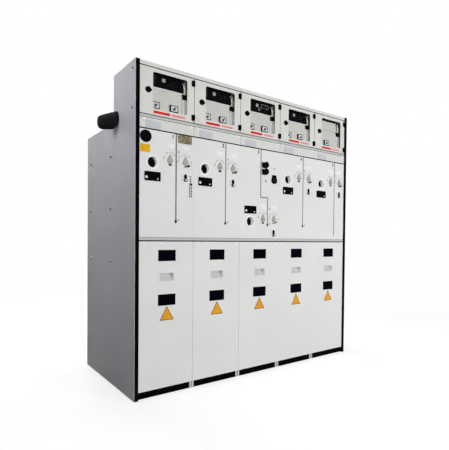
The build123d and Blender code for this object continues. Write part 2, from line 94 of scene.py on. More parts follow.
class Slot(Enum):
    """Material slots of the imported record."""

    GREY_PAINT = "grey_paint"
    BLACK_PAINT = "black_paint"
    PLINTH = "plinth"
    STAINLESS = "stainless"
    BLACK_PLASTIC = "black_plastic"
    PALE_PLASTIC = "pale_plastic"
    DARK_GLASS = "dark_glass"
    CLEAR_GLASS = "clear_glass"
    RUBBER = "rubber"


class Surface(Enum):
    """Kinds of surface, each with the peel and grain of its relief in waves to a metre."""

    POWDER_COAT = (420.0, 1500.0)
    MOULDED = (900.0, 2600.0)
    PRINTED = (260.0, 3000.0)
    PLATED = (350.0, 2200.0)
    GLASS = (18.0, 90.0)


class Facing(Enum):
    """Outward direction of a fitting."""

    FRONT = (0.0, -1.0, 0.0)
    REAR = (0.0, 1.0, 0.0)
    LEFT = (-1.0, 0.0, 0.0)
    RIGHT = (1.0, 0.0, 0.0)

    @property
    def outward(self) -> Vector:
        """Unit vector away from the surface that carries the fitting."""
        return Vector(self.value)

    @property
    def turn(self) -> Triple:
        """Rotation that takes a primitive's own axis to the outward direction."""
        if self is Facing.FRONT:
            return (math.pi / 2, 0.0, 0.0)
        return tuple(Vector((0, 0, 1)).rotation_difference(self.outward).to_euler())


class Socket(Enum):
    """Kinds of group socket."""

    COLOUR = "NodeSocketColor"
    NUMBER = "NodeSocketFloat"
    VECTOR = "NodeSocketVector"


TINT = {"Color": Socket.COLOUR, "Mask": Socket.NUMBER}


class Graph:
    """Node tree whose nodes have short names, linked by lines such as "cloud.Fac > mix.0"."""

    SMOOTH: dict[str, str] = {"interpolation_type": "SMOOTHSTEP"}

    def __init__(self, tree: bpy.types.NodeTree, **known: bpy.types.Node) -> None:
        """Takes over a tree.

        Args:
            tree: The node tree.
            **known: Nodes that it already has, by their short names.
        """
        self.tree = tree
        self.nodes = dict(known)

    @classmethod
    def group(cls, name: str, inputs: dict[str, Socket], outputs: dict[str, Socket]) -> "Graph":
        """Starts a shader group, with its ends under the names source and target.

        Args:
            name: Name of the group.
            inputs: Names and kinds of its inputs, besides its vector.
            outputs: Names and kinds of its outputs.

        Returns:
            The graph of the new group.
        """
        tree = bpy.data.node_groups.new(name, "ShaderNodeTree")
        for in_out, sockets in (("INPUT", {"Vector": Socket.VECTOR} | inputs), ("OUTPUT", outputs)):
            for label, kind in sockets.items():
                tree.interface.new_socket(label, in_out=in_out, socket_type=kind.value)
        ends = (tree.nodes.new(kind) for kind in ("NodeGroupInput", "NodeGroupOutput"))
        return cls(tree, **dict(zip(("source", "target"), ends)))

    def add(
        self, name: str, kind: str, values: dict[str | int, object] | None = None,
        **settings: object,
    ) -> None:
        """Adds a shader node.

        Args:
            name: Its short name.
            kind: Its type, as Blender writes it after ShaderNode.
            values: What its inputs hold.
            **settings: Its properties.
        """
        node = self.nodes[name] = self.tree.nodes.new(f"ShaderNode{kind}")
        for label, value in settings.items():
            setattr(node, label, value)
        self.fill(name, values or {})

    def fill(self, name: str, values: dict[str | int, object]) -> None:
        """Gives inputs of a node their values."""
        for label, value in values.items():
            self.nodes[name].inputs[label].default_value = value

    def link(self, *lines: str) -> None:
        """Links sockets, each line naming a node and its output and a node and its input."""
        for line in lines:
            (start, output), (end, entry) = (side.split(".") for side in line.split(" > "))
            output, entry = (int(s) if s.isdigit() else s for s in (output, entry))
            self.tree.links.new(self.nodes[start].outputs[output], self.nodes[end].inputs[entry])

    def noise(self, name: str, scale_from: str, detail: float, roughness: float) -> None:
        """Adds noise over a group's vector, with its scale from a named input."""
        self.add(name, "TexNoise", {"Detail": detail, "Roughness": roughness})
        self.link(f"source.Vector > {name}.Vector", f"source.{scale_from} > {name}.Scale")

    def blend(self, mask: str, first: str, second: str) -> None:
        """Puts out two inputs blended by a mask times the amount, and that mask."""
        self.add("share", "Math", operation="MULTIPLY", use_clamp=True)
        self.add("blend", "Mix", data_type="RGBA")
        self.link(
            f"{mask} > share.0", "source.Amount > share.1", "share.0 > blend.0",
            f"source.{first} > blend.6", f"source.{second} > blend.7",
            "blend.2 > target.Color", "share.0 > target.Mask",
        )

    def effect(self, tree: bpy.types.NodeTree, values: dict[str | int, object]) -> None:
        """Adds a shared group under its own name, on the vector of the node named place."""
        self.add(tree.name, "Group", node_tree=tree)
        self.fill(tree.name, values)
        self.link(f"place.Object > {tree.name}.Vector")


def mottle_group() -> bpy.types.NodeTree:
    """Soft blend of two close tones, as in any sprayed or moulded batch."""
    group = Graph.group(
        "mottle",
        {
            "Tone": Socket.COLOUR, "Second Tone": Socket.COLOUR, "Scale": Socket.NUMBER,
            "Amount": Socket.NUMBER,
        },
        TINT,
    )
    group.noise("cloud", "Scale", detail=4.0, roughness=0.55)
    group.add("spread", "MapRange", {"From Min": 0.35, "From Max": 0.65}, **Graph.SMOOTH)
    group.link("cloud.Fac > spread.Value")
    group.blend("spread.Result", "Tone", "Second Tone")
    return group.tree


def grain_group() -> bpy.types.NodeTree:
    """Height of a fine grain over a shallow orange peel."""
    scales = {"Peel Scale": Socket.NUMBER, "Grain Scale": Socket.NUMBER}
    group = Graph.group("grain", scales, {"Height": Socket.NUMBER})
    group.noise("peel", "Peel Scale", detail=2.0, roughness=0.5)
    group.noise("grain", "Grain Scale", detail=3.0, roughness=0.6)
    group.add("weight", "Math", {1: 0.35}, operation="MULTIPLY_ADD")
    group.link("grain.Fac > weight.0", "peel.Fac > weight.2", "weight.0 > target.Height")
    return group.tree


def brush_group() -> bpy.types.NodeTree:
    """Height and tone of fine drawn lines along the height of a part."""
    outputs = {"Height": Socket.NUMBER, "Mask": Socket.NUMBER}
    group = Graph.group("brush", {"Scale": Socket.NUMBER}, outputs)
    group.add("stretch", "VectorMath", {1: (1.0, 1.0, 0.06)}, operation="MULTIPLY")
    group.add("lines", "TexNoise", {"Detail": 3.0})
    group.link(
        "source.Vector > stretch.0", "stretch.0 > lines.Vector", "source.Scale > lines.Scale",
        "lines.Fac > target.Height", "lines.Fac > target.Mask",
    )
    return group.tree


def smudge_group() -> bpy.types.NodeTree:
    """Roughness that wanders between two values, as handling leaves it."""
    inputs = {"Scale": Socket.NUMBER, "Low": Socket.NUMBER, "High": Socket.NUMBER}
    group = Graph.group("smudge", inputs, {"Roughness": Socket.NUMBER})
    group.noise("cloud", "Scale", detail=5.0, roughness=0.6)
    group.add("spread", "MapRange", {"From Min": 0.3, "From Max": 0.7})
    group.link(
        "cloud.Fac > spread.Value", "source.Low > spread.To Min", "source.High > spread.To Max",
        "spread.Result > target.Roughness",
    )
    return group.tree


def dust_group() -> bpy.types.NodeTree:
    """Thin pale dust that settles on faces turned up and near the floor."""
    group = Graph.group(
        "dust",
        {"Color": Socket.COLOUR, "Dust": Socket.COLOUR, "Amount": Socket.NUMBER},
        TINT,
    )
    group.add("shape", "NewGeometry")
    group.add("normal", "SeparateXYZ")
    group.add("height", "SeparateXYZ")
    near_floor = {"From Min": 0.16, "From Max": 0.0, "To Max": 0.45}
    group.add("low", "MapRange", near_floor, **Graph.SMOOTH)
    group.add("top", "Math", operation="MAXIMUM")
    group.add("speckle", "TexNoise", {"Scale": 40.0, "Detail": 6.0})
    group.add("speckled", "Math", operation="MULTIPLY")
    group.link(
        "shape.Normal > normal.0", "source.Vector > height.0", "source.Vector > speckle.Vector",
        "height.Z > low.Value", "normal.Z > top.0", "low.Result > top.1", "top.0 > speckled.0",
        "speckle.Fac > speckled.1",
    )
    group.blend("speckled.0", "Color", "Dust")
    return group.tree


EFFECTS = {
    tree.name: tree
    for tree in (mottle_group(), grain_group(), brush_group(), smudge_group(), dust_group())
}
DUST_TONE = srgb(188, 184, 176)
SMUDGE_SCALE = 7.0


@dataclass(frozen=True)
class Finish:
    """One finish of the switchgear, with the numbers that set it apart.

    Attributes:
        name: Name of the material.
        slot: Slot of the record that it belongs to.
        surface: Kind of surface, which sets the grain.
        tone: Main colour, 0 to 255.
        second_tone: Colour that it wanders to.
        mottle_scale: Size of the clouds of tone, in clouds to a metre.
        mottle_amount: Share of the second tone at the most.
        roughness: Smoothest and roughest places.
        specular: Level of the plain gloss.
        metallic: 1 for bare metal.
        relief: Depth of the grain, in metres.
        dust: Share of dust where it settles.
        opacity: 1 for a solid, less for a clear pane.
        glow: Emission that brightens a part lying in shade; painted light, as none of these parts
            is a lamp.
    """

    name: str
    slot: Slot
    surface: Surface
    tone: Tone
    second_tone: Tone
    mottle_scale: float = 3.0
    mottle_amount: float = 0.6
    roughness: Pair = (0.42, 0.56)
    specular: float = 0.5
    metallic: float = 0.0
    relief: float = 0.00004
    dust: float = 0.12
    opacity: float = 1.0
    glow: float = 0.0

    def like(self, name: str, tone: Tone, second_tone: Tone, **own: object) -> "Finish":
        """A further finish of the same kind.

        Args:
            name: Name of its material.
            tone: Its main colour.
            second_tone: Colour that it wanders to.
            **own: What else sets it apart.

        Returns:
            The further finish.
        """
        return replace(self, name=name, tone=tone, second_tone=second_tone, **own)

    def material(self) -> bpy.types.Material:
        """The material of this finish, built once."""
        return bpy.data.materials.get(self.name) or self.build()

    def build(self) -> bpy.types.Material:
        """Makes the material from the shared groups.

        Returns:
            The new material.
        """
        made = bpy.data.materials.new(self.name)
        made.use_nodes = True
        shader = next(node for node in made.node_tree.nodes if node.type == "BSDF_PRINCIPLED")
        graph = Graph(made.node_tree, shader=shader)
        graph.fill("shader", {
            "Metallic": self.metallic, "Specular IOR Level": self.specular, "Alpha": self.opacity,
            "Emission Strength": self.glow,
        })
        graph.add("place", "TexCoord")
        graph.effect(EFFECTS["mottle"], {
            "Tone": srgb(*self.tone), "Second Tone": srgb(*self.second_tone),
            "Scale": self.mottle_scale, "Amount": self.mottle_amount,
        })
        graph.effect(EFFECTS["dust"], {"Dust": DUST_TONE, "Amount": self.dust})
        low, high = self.roughness
        graph.effect(EFFECTS["smudge"], {"Scale": SMUDGE_SCALE, "Low": low, "High": high})
        graph.add("bump", "Bump", {"Distance": self.relief})
        peel, fine = self.surface.value
        if self.surface is Surface.PLATED:
            graph.effect(EFFECTS["brush"], {"Scale": fine})
            graph.link("brush.Height > bump.Height")
        else:
            graph.effect(EFFECTS["grain"], {"Peel Scale": peel, "Grain Scale": fine})
            graph.link("grain.Height > bump.Height")
        # Painted light: the part's own colour glows so that it reads lit where it lies in shade.
        if self.glow:
            graph.link("mottle.Color > shader.Emission Color")
        graph.link(
            "mottle.Color > dust.Color", "dust.Color > shader.Base Color",
            "smudge.Roughness > shader.Roughness", "bump.Normal > shader.Normal",
        )
        return made


class Finishes:
    """Every finish on the unit, the first of each kind in full and the others like it."""

    FRONT_PAINT = Finish(
        "front_paint", Slot.GREY_PAINT, Surface.POWDER_COAT, (216, 218, 216), (210, 212, 209)
    )
    # Painted shade: darker paint on the grip floors for the shade inside the recessed grips.
    GRIP_PAINT = FRONT_PAINT.like("grip_paint", (188, 190, 188), (181, 183, 180))
    DOOR_PAINT = FRONT_PAINT.like("door_paint", (207, 208, 204), (200, 201, 196))
    SIDE_PAINT = FRONT_PAINT.like("side_paint", (205, 205, 210), (197, 197, 202), specular=0.15)
    REAR_PAINT = FRONT_PAINT.like("rear_paint", (208, 209, 211), (201, 202, 204))
    RAIL_PAINT = FRONT_PAINT.like("rail_paint", (184, 186, 184), (176, 178, 176))
    INNER_PAINT = FRONT_PAINT.like("inner_paint", (206, 204, 198), (198, 196, 190))
    FOOT_PAINT = FRONT_PAINT.like("foot_paint", (196, 190, 194), (184, 178, 182))
    # Near-white screw heads: partly their own pale paint, partly a painted highlight that makes
    # them read as lit.
    PAINTED_SCREW = FRONT_PAINT.like(
        "painted_screw", (246, 246, 245), (240, 240, 239),
        roughness=(0.3, 0.42), mottle_scale=60.0, relief=0.00001, dust=0.05,
    )
    TRIM_PAINT = FRONT_PAINT.like(
        "trim_paint", (5, 5, 7), (9, 9, 12),
        slot=Slot.BLACK_PAINT, roughness=(0.4, 0.55), specular=0.01, dust=0.02,
    )
    PLINTH_PAINT = TRIM_PAINT.like(
        "plinth_paint", (3, 2, 2), (7, 5, 5), slot=Slot.PLINTH, roughness=(0.55, 0.7), dust=0.0
    )

    TANK_STEEL = Finish(
        "tank_steel", Slot.STAINLESS, Surface.PLATED, (176, 177, 176), (158, 160, 160),
        metallic=1.0, roughness=(0.28, 0.42), relief=0.00002,
    )
    ZINC = TANK_STEEL.like(
        "zinc", (196, 196, 192), (172, 174, 172), roughness=(0.28, 0.44), mottle_scale=24.0
    )
    SCREW_ZINC = TANK_STEEL.like(
        "screw_zinc", (222, 222, 220), (196, 197, 196),
        metallic=0.6, roughness=(0.3, 0.42), mottle_scale=60.0, relief=0.00001, dust=0.05,
    )
    SOCKET_METAL = TANK_STEEL.like(
        "socket_metal", (226, 224, 218), (196, 194, 188),
        metallic=0.4, roughness=(0.26, 0.4), mottle_scale=90.0, relief=0.000008, dust=0.02,
    )
    BRASS_PLATE = TANK_STEEL.like(
        "brass_plate", (146, 134, 104), (96, 90, 66), metallic=0.35, roughness=(0.35, 0.5),
        mottle_scale=46.0, mottle_amount=1.0, relief=0.00001, dust=0.02,
    )
    COVER_CASTING = TANK_STEEL.like(
        "cover_casting", (170, 168, 162), (150, 148, 141), surface=Surface.MOULDED,
        metallic=0.15, roughness=(0.45, 0.6), mottle_scale=40.0, relief=0.00003, dust=0.05,
    )

    BLACK_PLASTIC = Finish(
        "moulded_black", Slot.BLACK_PLASTIC, Surface.MOULDED, (5, 5, 6), (9, 9, 11),
        roughness=(0.36, 0.5), specular=0.01, mottle_scale=14.0, relief=0.00002, dust=0.02,
    )
    GLOSS_BLACK = BLACK_PLASTIC.like(
        "gloss_black", (4, 4, 6), (8, 8, 10), roughness=(0.12, 0.24), specular=0.03,
        relief=0.000008,
    )
    BUTTON_BLACK = BLACK_PLASTIC.like(
        "button_black", (8, 8, 9), (15, 15, 17), roughness=(0.32, 0.46), specular=0.02,
        mottle_scale=30.0, relief=0.00001,
    )
    LATCH_BLACK = BLACK_PLASTIC.like(
        "latch_black", (34, 30, 28), (48, 42, 38), roughness=(0.4, 0.55), specular=0.08,
        mottle_scale=60.0, relief=0.00001,
    )
    KEY_GREY = LATCH_BLACK.like("key_grey", (20, 20, 24), (28, 28, 32), specular=0.04, dust=0.0)
    RELAY_BLACK = LATCH_BLACK.like(
        "relay_black", (5, 5, 6), (10, 9, 11), specular=0.02, mottle_scale=18.0, dust=0.0
    )
    SWITCH_GREY = BLACK_PLASTIC.like(
        "switch_grey", (92, 92, 98), (74, 74, 80), roughness=(0.42, 0.56), specular=0.3,
        mottle_scale=80.0, relief=0.000008, dust=0.0,
    )

    PALE_PLASTIC = Finish(
        "moulded_pale", Slot.PALE_PLASTIC, Surface.MOULDED, (232, 233, 233), (224, 226, 226),
        roughness=(0.34, 0.48), mottle_scale=20.0, relief=0.00002, dust=0.04,
    )
    # Painted light: a pale lining that glows so the well's wall reads lit, where the real wall lies
    # in shade.
    WELL_PLASTIC = PALE_PLASTIC.like(
        "well_plastic", (236, 237, 236), (228, 230, 228), dust=0.0, glow=0.36
    )
    GREY_PLATE = PALE_PLASTIC.like(
        "grey_plate", (146, 146, 146), (132, 132, 132), roughness=(0.42, 0.56), specular=0.4,
        mottle_scale=24.0, relief=0.00001, dust=0.02,
    )
    # Painted light: the trunking's cover and lid glow so they read lit inside the door's shadow.
    TRUNKING_WHITE = GREY_PLATE.like(
        "trunking_white", (226, 227, 226), (220, 220, 219), specular=0.3, dust=0.0, glow=0.24
    )
    # Painted light: the leads glow so they read pale inside the box's shade.
    LEAD_WHITE = TRUNKING_WHITE.like(
        "lead_white", (226, 226, 224), (210, 210, 208), mottle_scale=90.0, relief=0.000005,
        glow=0.2,
    )
    LEAD_GREEN = LEAD_WHITE.like(
        "lead_green", (216, 214, 104), (140, 166, 70), mottle_scale=220.0, mottle_amount=1.0,
        glow=0.12,
    )

    COVER_PANE = Finish(
        "cover_pane", Slot.DARK_GLASS, Surface.GLASS, (2, 2, 6), (5, 4, 18),
        roughness=(0.05, 0.12), specular=0.01, mottle_scale=9.0, relief=0.000004, dust=0.02,
    )
    SIGHT_GLASS = COVER_PANE.like(
        "sight_glass", (2, 2, 3), (6, 6, 8), roughness=(0.06, 0.14), specular=0.03,
        mottle_scale=40.0, dust=0.0,
    )
    DOOR_PANE = COVER_PANE.like(
        "door_pane", (40, 44, 44), (30, 34, 34), slot=Slot.CLEAR_GLASS, roughness=(0.03, 0.08),
        specular=0.05, mottle_scale=6.0, relief=0.000003, dust=0.0, opacity=0.03,
    )

    MIMIC_INK = Finish(
        "mimic_ink", Slot.BLACK_PLASTIC, Surface.PRINTED, (104, 105, 106), (116, 117, 118),
        mottle_scale=30.0, relief=0.00001, dust=0.0, specular=0.3,
    )
    NUMBER_INK = MIMIC_INK.like("number_ink", (44, 44, 47), (58, 58, 62))
    FAINT_INK = MIMIC_INK.like("faint_ink", (80, 80, 82), (108, 108, 110))
    DARK_INK = MIMIC_INK.like("dark_ink", (16, 16, 18), (26, 26, 28), specular=0.03)
    BORDER_INK = MIMIC_INK.like("border_ink", (84, 60, 26), (100, 72, 32))

    AMBER_PLATE = Finish(
        "amber_plate", Slot.PALE_PLASTIC, Surface.PRINTED, (217, 153, 34), (209, 142, 28),
        mottle_scale=18.0, relief=0.00001, dust=0.03, specular=0.4,
    )
    YELLOW_PLATE = AMBER_PLATE.like(
        "yellow_plate", (220, 170, 10), (203, 150, 12), mottle_scale=40.0
    )
    WHITE_PLATE = AMBER_PLATE.like(
        "white_plate", (228, 228, 227), (220, 220, 219), mottle_scale=24.0, dust=0.02
    )
    LILAC_PLATE = WHITE_PLATE.like("lilac_plate", (188, 191, 196), (180, 184, 190))
    RED_STRIPE = WHITE_PLATE.like(
        "red_stripe", (206, 42, 44), (190, 34, 38), relief=0.000005, dust=0.0, specular=0.3
    )
    PALE_RED_STRIPE = RED_STRIPE.like("pale_red_stripe", (224, 128, 128), (216, 116, 118))
    DISPLAY = RED_STRIPE.like(
        "display_white", (172, 168, 172), (126, 124, 130), mottle_scale=120.0
    )
    SWITCH_FACE = RED_STRIPE.like(
        "switch_face", (214, 216, 218), (200, 202, 206), mottle_scale=80.0
    )
    DIAL_GREY = RED_STRIPE.like(
        "dial_grey", (112, 112, 116), (90, 90, 94), mottle_scale=60.0, specular=0.2
    )

    RUBBER = Finish(
        "cap_rubber", Slot.RUBBER, Surface.MOULDED, (30, 30, 31), (38, 38, 39),
        roughness=(0.5, 0.68), specular=0.02, mottle_scale=18.0, relief=0.00005, dust=0.05,
    )
    # Painted shade: near-black strips laid over the front's gaps for the shade inside them.
    SEAL_RUBBER = RUBBER.like(
        "seal_rubber", (14, 14, 15), (22, 22, 23),
        roughness=(0.6, 0.75), specular=0.05, relief=0.00003, dust=0.0,
    )


class Bench:
    """Modelling with Blender's own operators, one piece at a time. Sizes are in millimetres."""

    SMOOTH_ANGLE = math.radians(32)
    ARC_STEP = 9.0
    CAPITAL_SHARE = 0.72
    BOLDNESS = 1.1
    SAME_DIRECTION = 0.999

    @staticmethod
    def clear() -> None:
        """Leaves object mode on, with nothing selected."""
        if bpy.context.mode != "OBJECT":
            bpy.ops.object.mode_set(mode="OBJECT")
        bpy.ops.object.select_all(action="DESELECT")

    @staticmethod
    def edit(name: str) -> Piece:
        """Names the new primitive, puts its place in its mesh and opens it with all selected."""
        piece = bpy.context.object
        piece.name = piece.data.name = name
        bpy.ops.object.transform_apply(location=True, rotation=True, scale=True)
        bpy.ops.object.mode_set(mode="EDIT")
        bpy.ops.mesh.select_all(action="SELECT")
        return piece

    @classmethod
    def reopen(cls, piece: Piece) -> None:
        """Opens a finished piece again with all of it selected."""
        cls.clear()
        piece.select_set(True)
        bpy.context.view_layer.objects.active = piece
        bpy.ops.object.mode_set(mode="EDIT")
        bpy.ops.mesh.select_all(action="SELECT")

    @classmethod
    def close(cls, piece: Piece) -> Piece:
        """Turns all faces outwards, leaves edit mode and smooths the round parts."""
        bpy.ops.mesh.select_all(action="SELECT")
        bpy.ops.mesh.normals_make_consistent(inside=False)
        bpy.ops.object.mode_set(mode="OBJECT")
        bpy.ops.object.shade_smooth_by_angle(angle=cls.SMOOTH_ANGLE)
        return piece

    @staticmethod
    def pick(test: Callable[[Vector, Vector], bool]) -> None:
        """Selects only the faces of the open piece that pass a test.

        Args:
            test: Says yes or no from a face's middle, in millimetres, and its normal.
        """
        bpy.ops.mesh.select_mode(type="FACE")
        bpy.ops.mesh.select_all(action="DESELECT")
        mesh = bpy.context.edit_object.data
        working = bmesh.from_edit_mesh(mesh)
        for face in working.faces:
            if test(face.calc_center_median() / MM, face.normal):
                face.select_set(True)
        working.select_flush_mode()
        bmesh.update_edit_mesh(mesh)

    @staticmethod
    def push(step: Vector) -> None:
        """Extrudes what is selected by a step in millimetres."""
        bpy.ops.mesh.extrude_region_move(TRANSFORM_OT_translate={"value": step * MM})

    @staticmethod
    def stretch(share: Triple, centre: Vector) -> None:
        """Resizes what is selected about a centre in metres."""
        bpy.ops.transform.resize(value=share, center_override=centre)

    @staticmethod
    def soften(edge: float, steps: int) -> None:
        """Rounds the edges of what is selected."""
        bpy.ops.mesh.bevel(offset=edge * MM, segments=steps, affect="EDGES", offset_type="OFFSET")

    @classmethod
    def plate(cls, name: str, x: Pair, y: Pair, z: Pair, edge: float, steps: int = 2) -> Piece:
        """Bar or plate between two corners, with every edge rounded.

        Args:
            name: Name of the piece.
            x: Left and right ends.
            y: Front and back.
            z: Bottom and top.
            edge: Radius of its edges.
            steps: Faces across a rounded edge.

        Returns:
            The finished piece.
        """
        cls.clear()
        middle = metres(*(sum(ends) / 2 for ends in (x, y, z)))
        size = metres(*(ends[1] - ends[0] for ends in (x, y, z)))
        bpy.ops.mesh.primitive_cube_add(size=1.0, location=middle, scale=size)
        piece = cls.edit(name)
        cls.soften(edge, steps)
        return cls.close(piece)

    @classmethod
    def on_panel(
        cls, name: str, x: Pair, z: Pair, proud: float, edge: float, steps: int = 2
    ) -> Piece:
        """Plate that stands proud of the operating panels, the rest as for plate."""
        return cls.plate(name, x, (PANEL_FACE - proud, PANEL_FACE), z, edge, steps)

    @classmethod
    def turned(
        cls, name: str, seat: Triple, stations: Iterable[Pair], facing: Facing = Facing.FRONT,
        sides: int = 32, share: Pair = (1.0, 1.0), edge: float = 0.0,
    ) -> Piece:
        """Turned or many-sided part, drawn outwards from its seat station by station.

        Args:
            name: Name of the piece.
            seat: Middle of its seat.
            stations: Reach from the seat and radius there.
            facing: Outward direction.
            sides: Corners of its round, the first of them up on the front.
            share: Width and height over those of an even shape, on the front.
            edge: Radius of its edges, for a flat plate.

        Returns:
            The finished piece.
        """
        cls.clear()
        middle = metres(*seat)
        out = facing.outward
        (reach, radius), *rest = stations
        bpy.ops.mesh.primitive_circle_add(
            vertices=sides, radius=radius * MM, fill_type="NGON",
            location=middle + out * reach * MM, rotation=facing.turn,
        )
        piece = cls.edit(name)
        for next_reach, next_radius in rest:
            cls.push(out * (next_reach - reach))
            if next_radius != radius:
                cls.stretch((next_radius / radius,) * 3, middle + out * next_reach * MM)
            reach, radius = next_reach, next_radius
        bpy.ops.mesh.select_all(action="SELECT")
        if share != (1.0, 1.0):
            cls.stretch((share[0], 1.0, share[1]), middle)
        if edge:
            cls.soften(edge, steps=1)
        return cls.close(piece)

    @classmethod
    def arc(
        cls, name: str, centre: Triple, radius: float, width: float, thickness: float,
        start: float, sweep: float,
    ) -> Piece:
        """Printed arc on the front, spun from its cross-section.

        Args:
            name: Name of the piece.
            centre: Middle of the circle, on the face that carries the arc.
            radius: Radius of its middle line.
            width: Width of the line.
            thickness: How far it stands out.
            start: Angle of its first end, in degrees from +X towards +Z.
            sweep: Angle that it covers, in degrees.

        Returns:
            The finished piece.
        """
        cls.clear()
        angle = math.radians(start)
        along = Vector((math.cos(angle), 0.0, math.sin(angle)))
        out = Facing.FRONT.outward
        turn = Matrix((along, out, along.cross(out))).transposed()
        bpy.ops.mesh.primitive_plane_add(
            size=1.0, location=metres(*centre) + (along * radius + out * thickness / 2) * MM,
            rotation=turn.to_euler(),
        )
        bpy.context.object.scale = (width * MM, thickness * MM, 1.0)
        piece = cls.edit(name)
        bpy.ops.mesh.spin(
            steps=max(2, round(abs(sweep) / cls.ARC_STEP)), angle=-math.radians(sweep),
            center=metres(*centre), axis=out,
        )
        return cls.close(piece)

    @classmethod
    def words(cls, name: str, seat: Triple, text: str, height: float, thickness: float) -> Piece:
        """Plain raised figures on the front.

        Args:
            name: Name of the piece.
            seat: Their middle, on the face that carries them.
            text: What they say.
            height: Height of a figure.
            thickness: How far they stand out.

        Returns:
            The finished piece.
        """
        cls.clear()
        half = thickness / 2
        bpy.ops.object.text_add(
            location=metres(*seat) + Facing.FRONT.outward * half * MM, rotation=Facing.FRONT.turn
        )
        figures = bpy.context.object.data
        figures.body = text
        figures.size = height / cls.CAPITAL_SHARE * MM
        figures.extrude = half * MM
        figures.offset = cls.BOLDNESS * MM
        figures.resolution_u = 4
        figures.align_x = figures.align_y = "CENTER"
        bpy.ops.object.convert(target="MESH")
        piece = cls.edit(name)
        bpy.ops.mesh.remove_doubles(threshold=0.01 * MM)
        return cls.close(piece)

    @classmethod
    def ring(cls, name: str, centre: Triple, radius: float, wire: float) -> Piece:
        """Round wire ring on the front.

        Args:
            name: Name of the piece.
            centre: Its middle.
            radius: Radius of its middle line.
            wire: Radius of the wire.

        Returns:
            The finished piece.
        """
        cls.clear()
        bpy.ops.mesh.primitive_torus_add(
            major_radius=radius * MM, minor_radius=wire * MM, major_segments=28,
            minor_segments=8, location=metres(*centre), rotation=Facing.FRONT.turn,
        )
        return cls.close(cls.edit(name))

    @classmethod
    def wire(cls, name: str, points: Iterable[Triple], radius: float) -> Piece:
        """Insulated lead along a smooth line, made a mesh.

        Args:
            name: Name of the piece.
            points: Corners of its route.
            radius: Radius of the lead.

        Returns:
            The finished piece.
        """
        cls.clear()
        route = list(points)
        bpy.ops.curve.primitive_nurbs_path_add()
        lead = bpy.context.object.data
        lead.splines.clear()
        spline = lead.splines.new("NURBS")
        spline.points.add(len(route) - 1)
        for point, place in zip(spline.points, route):
            point.co = (*metres(*place), 1.0)
        spline.order_u = 3
        spline.use_endpoint_u = True
        lead.bevel_depth = radius * MM
        lead.bevel_resolution = 2
        lead.resolution_u = 6
        lead.use_fill_caps = True
        bpy.ops.object.convert(target="MESH")
        return cls.close(cls.edit(name))

    @classmethod
    def lean(cls, piece: Piece, pivot: Triple, degrees: float) -> Piece:
        """Turns a piece on the front about a pivot.

        Args:
            piece: The piece.
            pivot: Middle of the turn.
            degrees: Angle, counterclockwise as seen from the front.

        Returns:
            The same piece.
        """
        cls.reopen(piece)
        bpy.ops.transform.rotate(
            value=math.radians(degrees), orient_axis="Y", center_override=metres(*pivot)
        )
        bpy.ops.object.mode_set(mode="OBJECT")
        return piece

    @classmethod
    def sink(cls, piece: Piece, inset: float, depth: float) -> Piece:
        """Sinks the middle of a plate's front.

        Args:
            piece: The plate.
            inset: Width of the rim that stays.
            depth: How deep the middle goes.

        Returns:
            The same piece.
        """
        cls.reopen(piece)
        out = Facing.FRONT.outward
        cls.pick(lambda middle, normal: normal.dot(out) > cls.SAME_DIRECTION)
        bpy.ops.mesh.inset(thickness=inset * MM, depth=0.0)
        cls.push(-out * depth)
        return cls.close(piece)

    @classmethod
    def slope(
        cls, piece: Piece, test: Callable[[Vector, Vector], bool], step: Triple
    ) -> Piece:
        """Slopes a piece by moving some of its faces.

        Args:
            piece: The piece.
            test: Says which faces move, as for pick.
            step: Way that they move.

        Returns:
            The same piece.
        """
        cls.reopen(piece)
        cls.pick(test)
        bpy.ops.transform.translate(value=metres(*step))
        bpy.ops.object.mode_set(mode="OBJECT")
        return piece

    @classmethod
    def repeat(cls, piece: Piece, moves: Iterable[Triple]) -> Piece:
        """Copies all of a piece to further places within its own mesh.

        Args:
            piece: The piece, in object mode.
            moves: Ways from the first copy to each further one.

        Returns:
            The same piece with its copies.
        """
        cls.reopen(piece)
        last = Vector((0.0, 0.0, 0.0))
        for move in moves:
            step = (Vector(move) - last) * MM
            bpy.ops.mesh.duplicate_move(TRANSFORM_OT_translate={"value": step})
            last = Vector(move)
        bpy.ops.object.mode_set(mode="OBJECT")
        return piece

    @classmethod
    def join(cls, name: str, pieces: list[Piece]) -> Piece:
        """Joins pieces of one finish into one.

        Args:
            name: Name of the whole.
            pieces: What it is made of.

        Returns:
            The joined piece.
        """
        cls.clear()
        for piece in pieces:
            piece.select_set(True)
        bpy.context.view_layer.objects.active = pieces[0]
        if len(pieces) > 1:
            bpy.ops.object.join()
        pieces[0].name = pieces[0].data.name = name
        return pieces[0]


def fit(piece: Piece, finish: Finish, body: str = CABINET, replaces: tuple[str, ...] = ()) -> Piece:
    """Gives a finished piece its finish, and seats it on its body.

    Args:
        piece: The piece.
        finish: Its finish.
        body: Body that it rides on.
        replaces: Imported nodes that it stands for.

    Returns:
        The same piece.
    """
    piece.data.materials.clear()
    piece.data.materials.append(finish.material())
    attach(piece, body)
    if replaces:
        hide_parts(*replaces)
    log.info("%s rides on %s in %s", piece.name, body, finish.name)
    return piece


def fit_set(name: str, pieces: list[Piece], finish: Finish, **seat: object) -> Piece:
    """Joins pieces of one finish and fits the whole, with the seat's options as for fit."""
    return fit(Bench.join(name, pieces), finish, **seat)


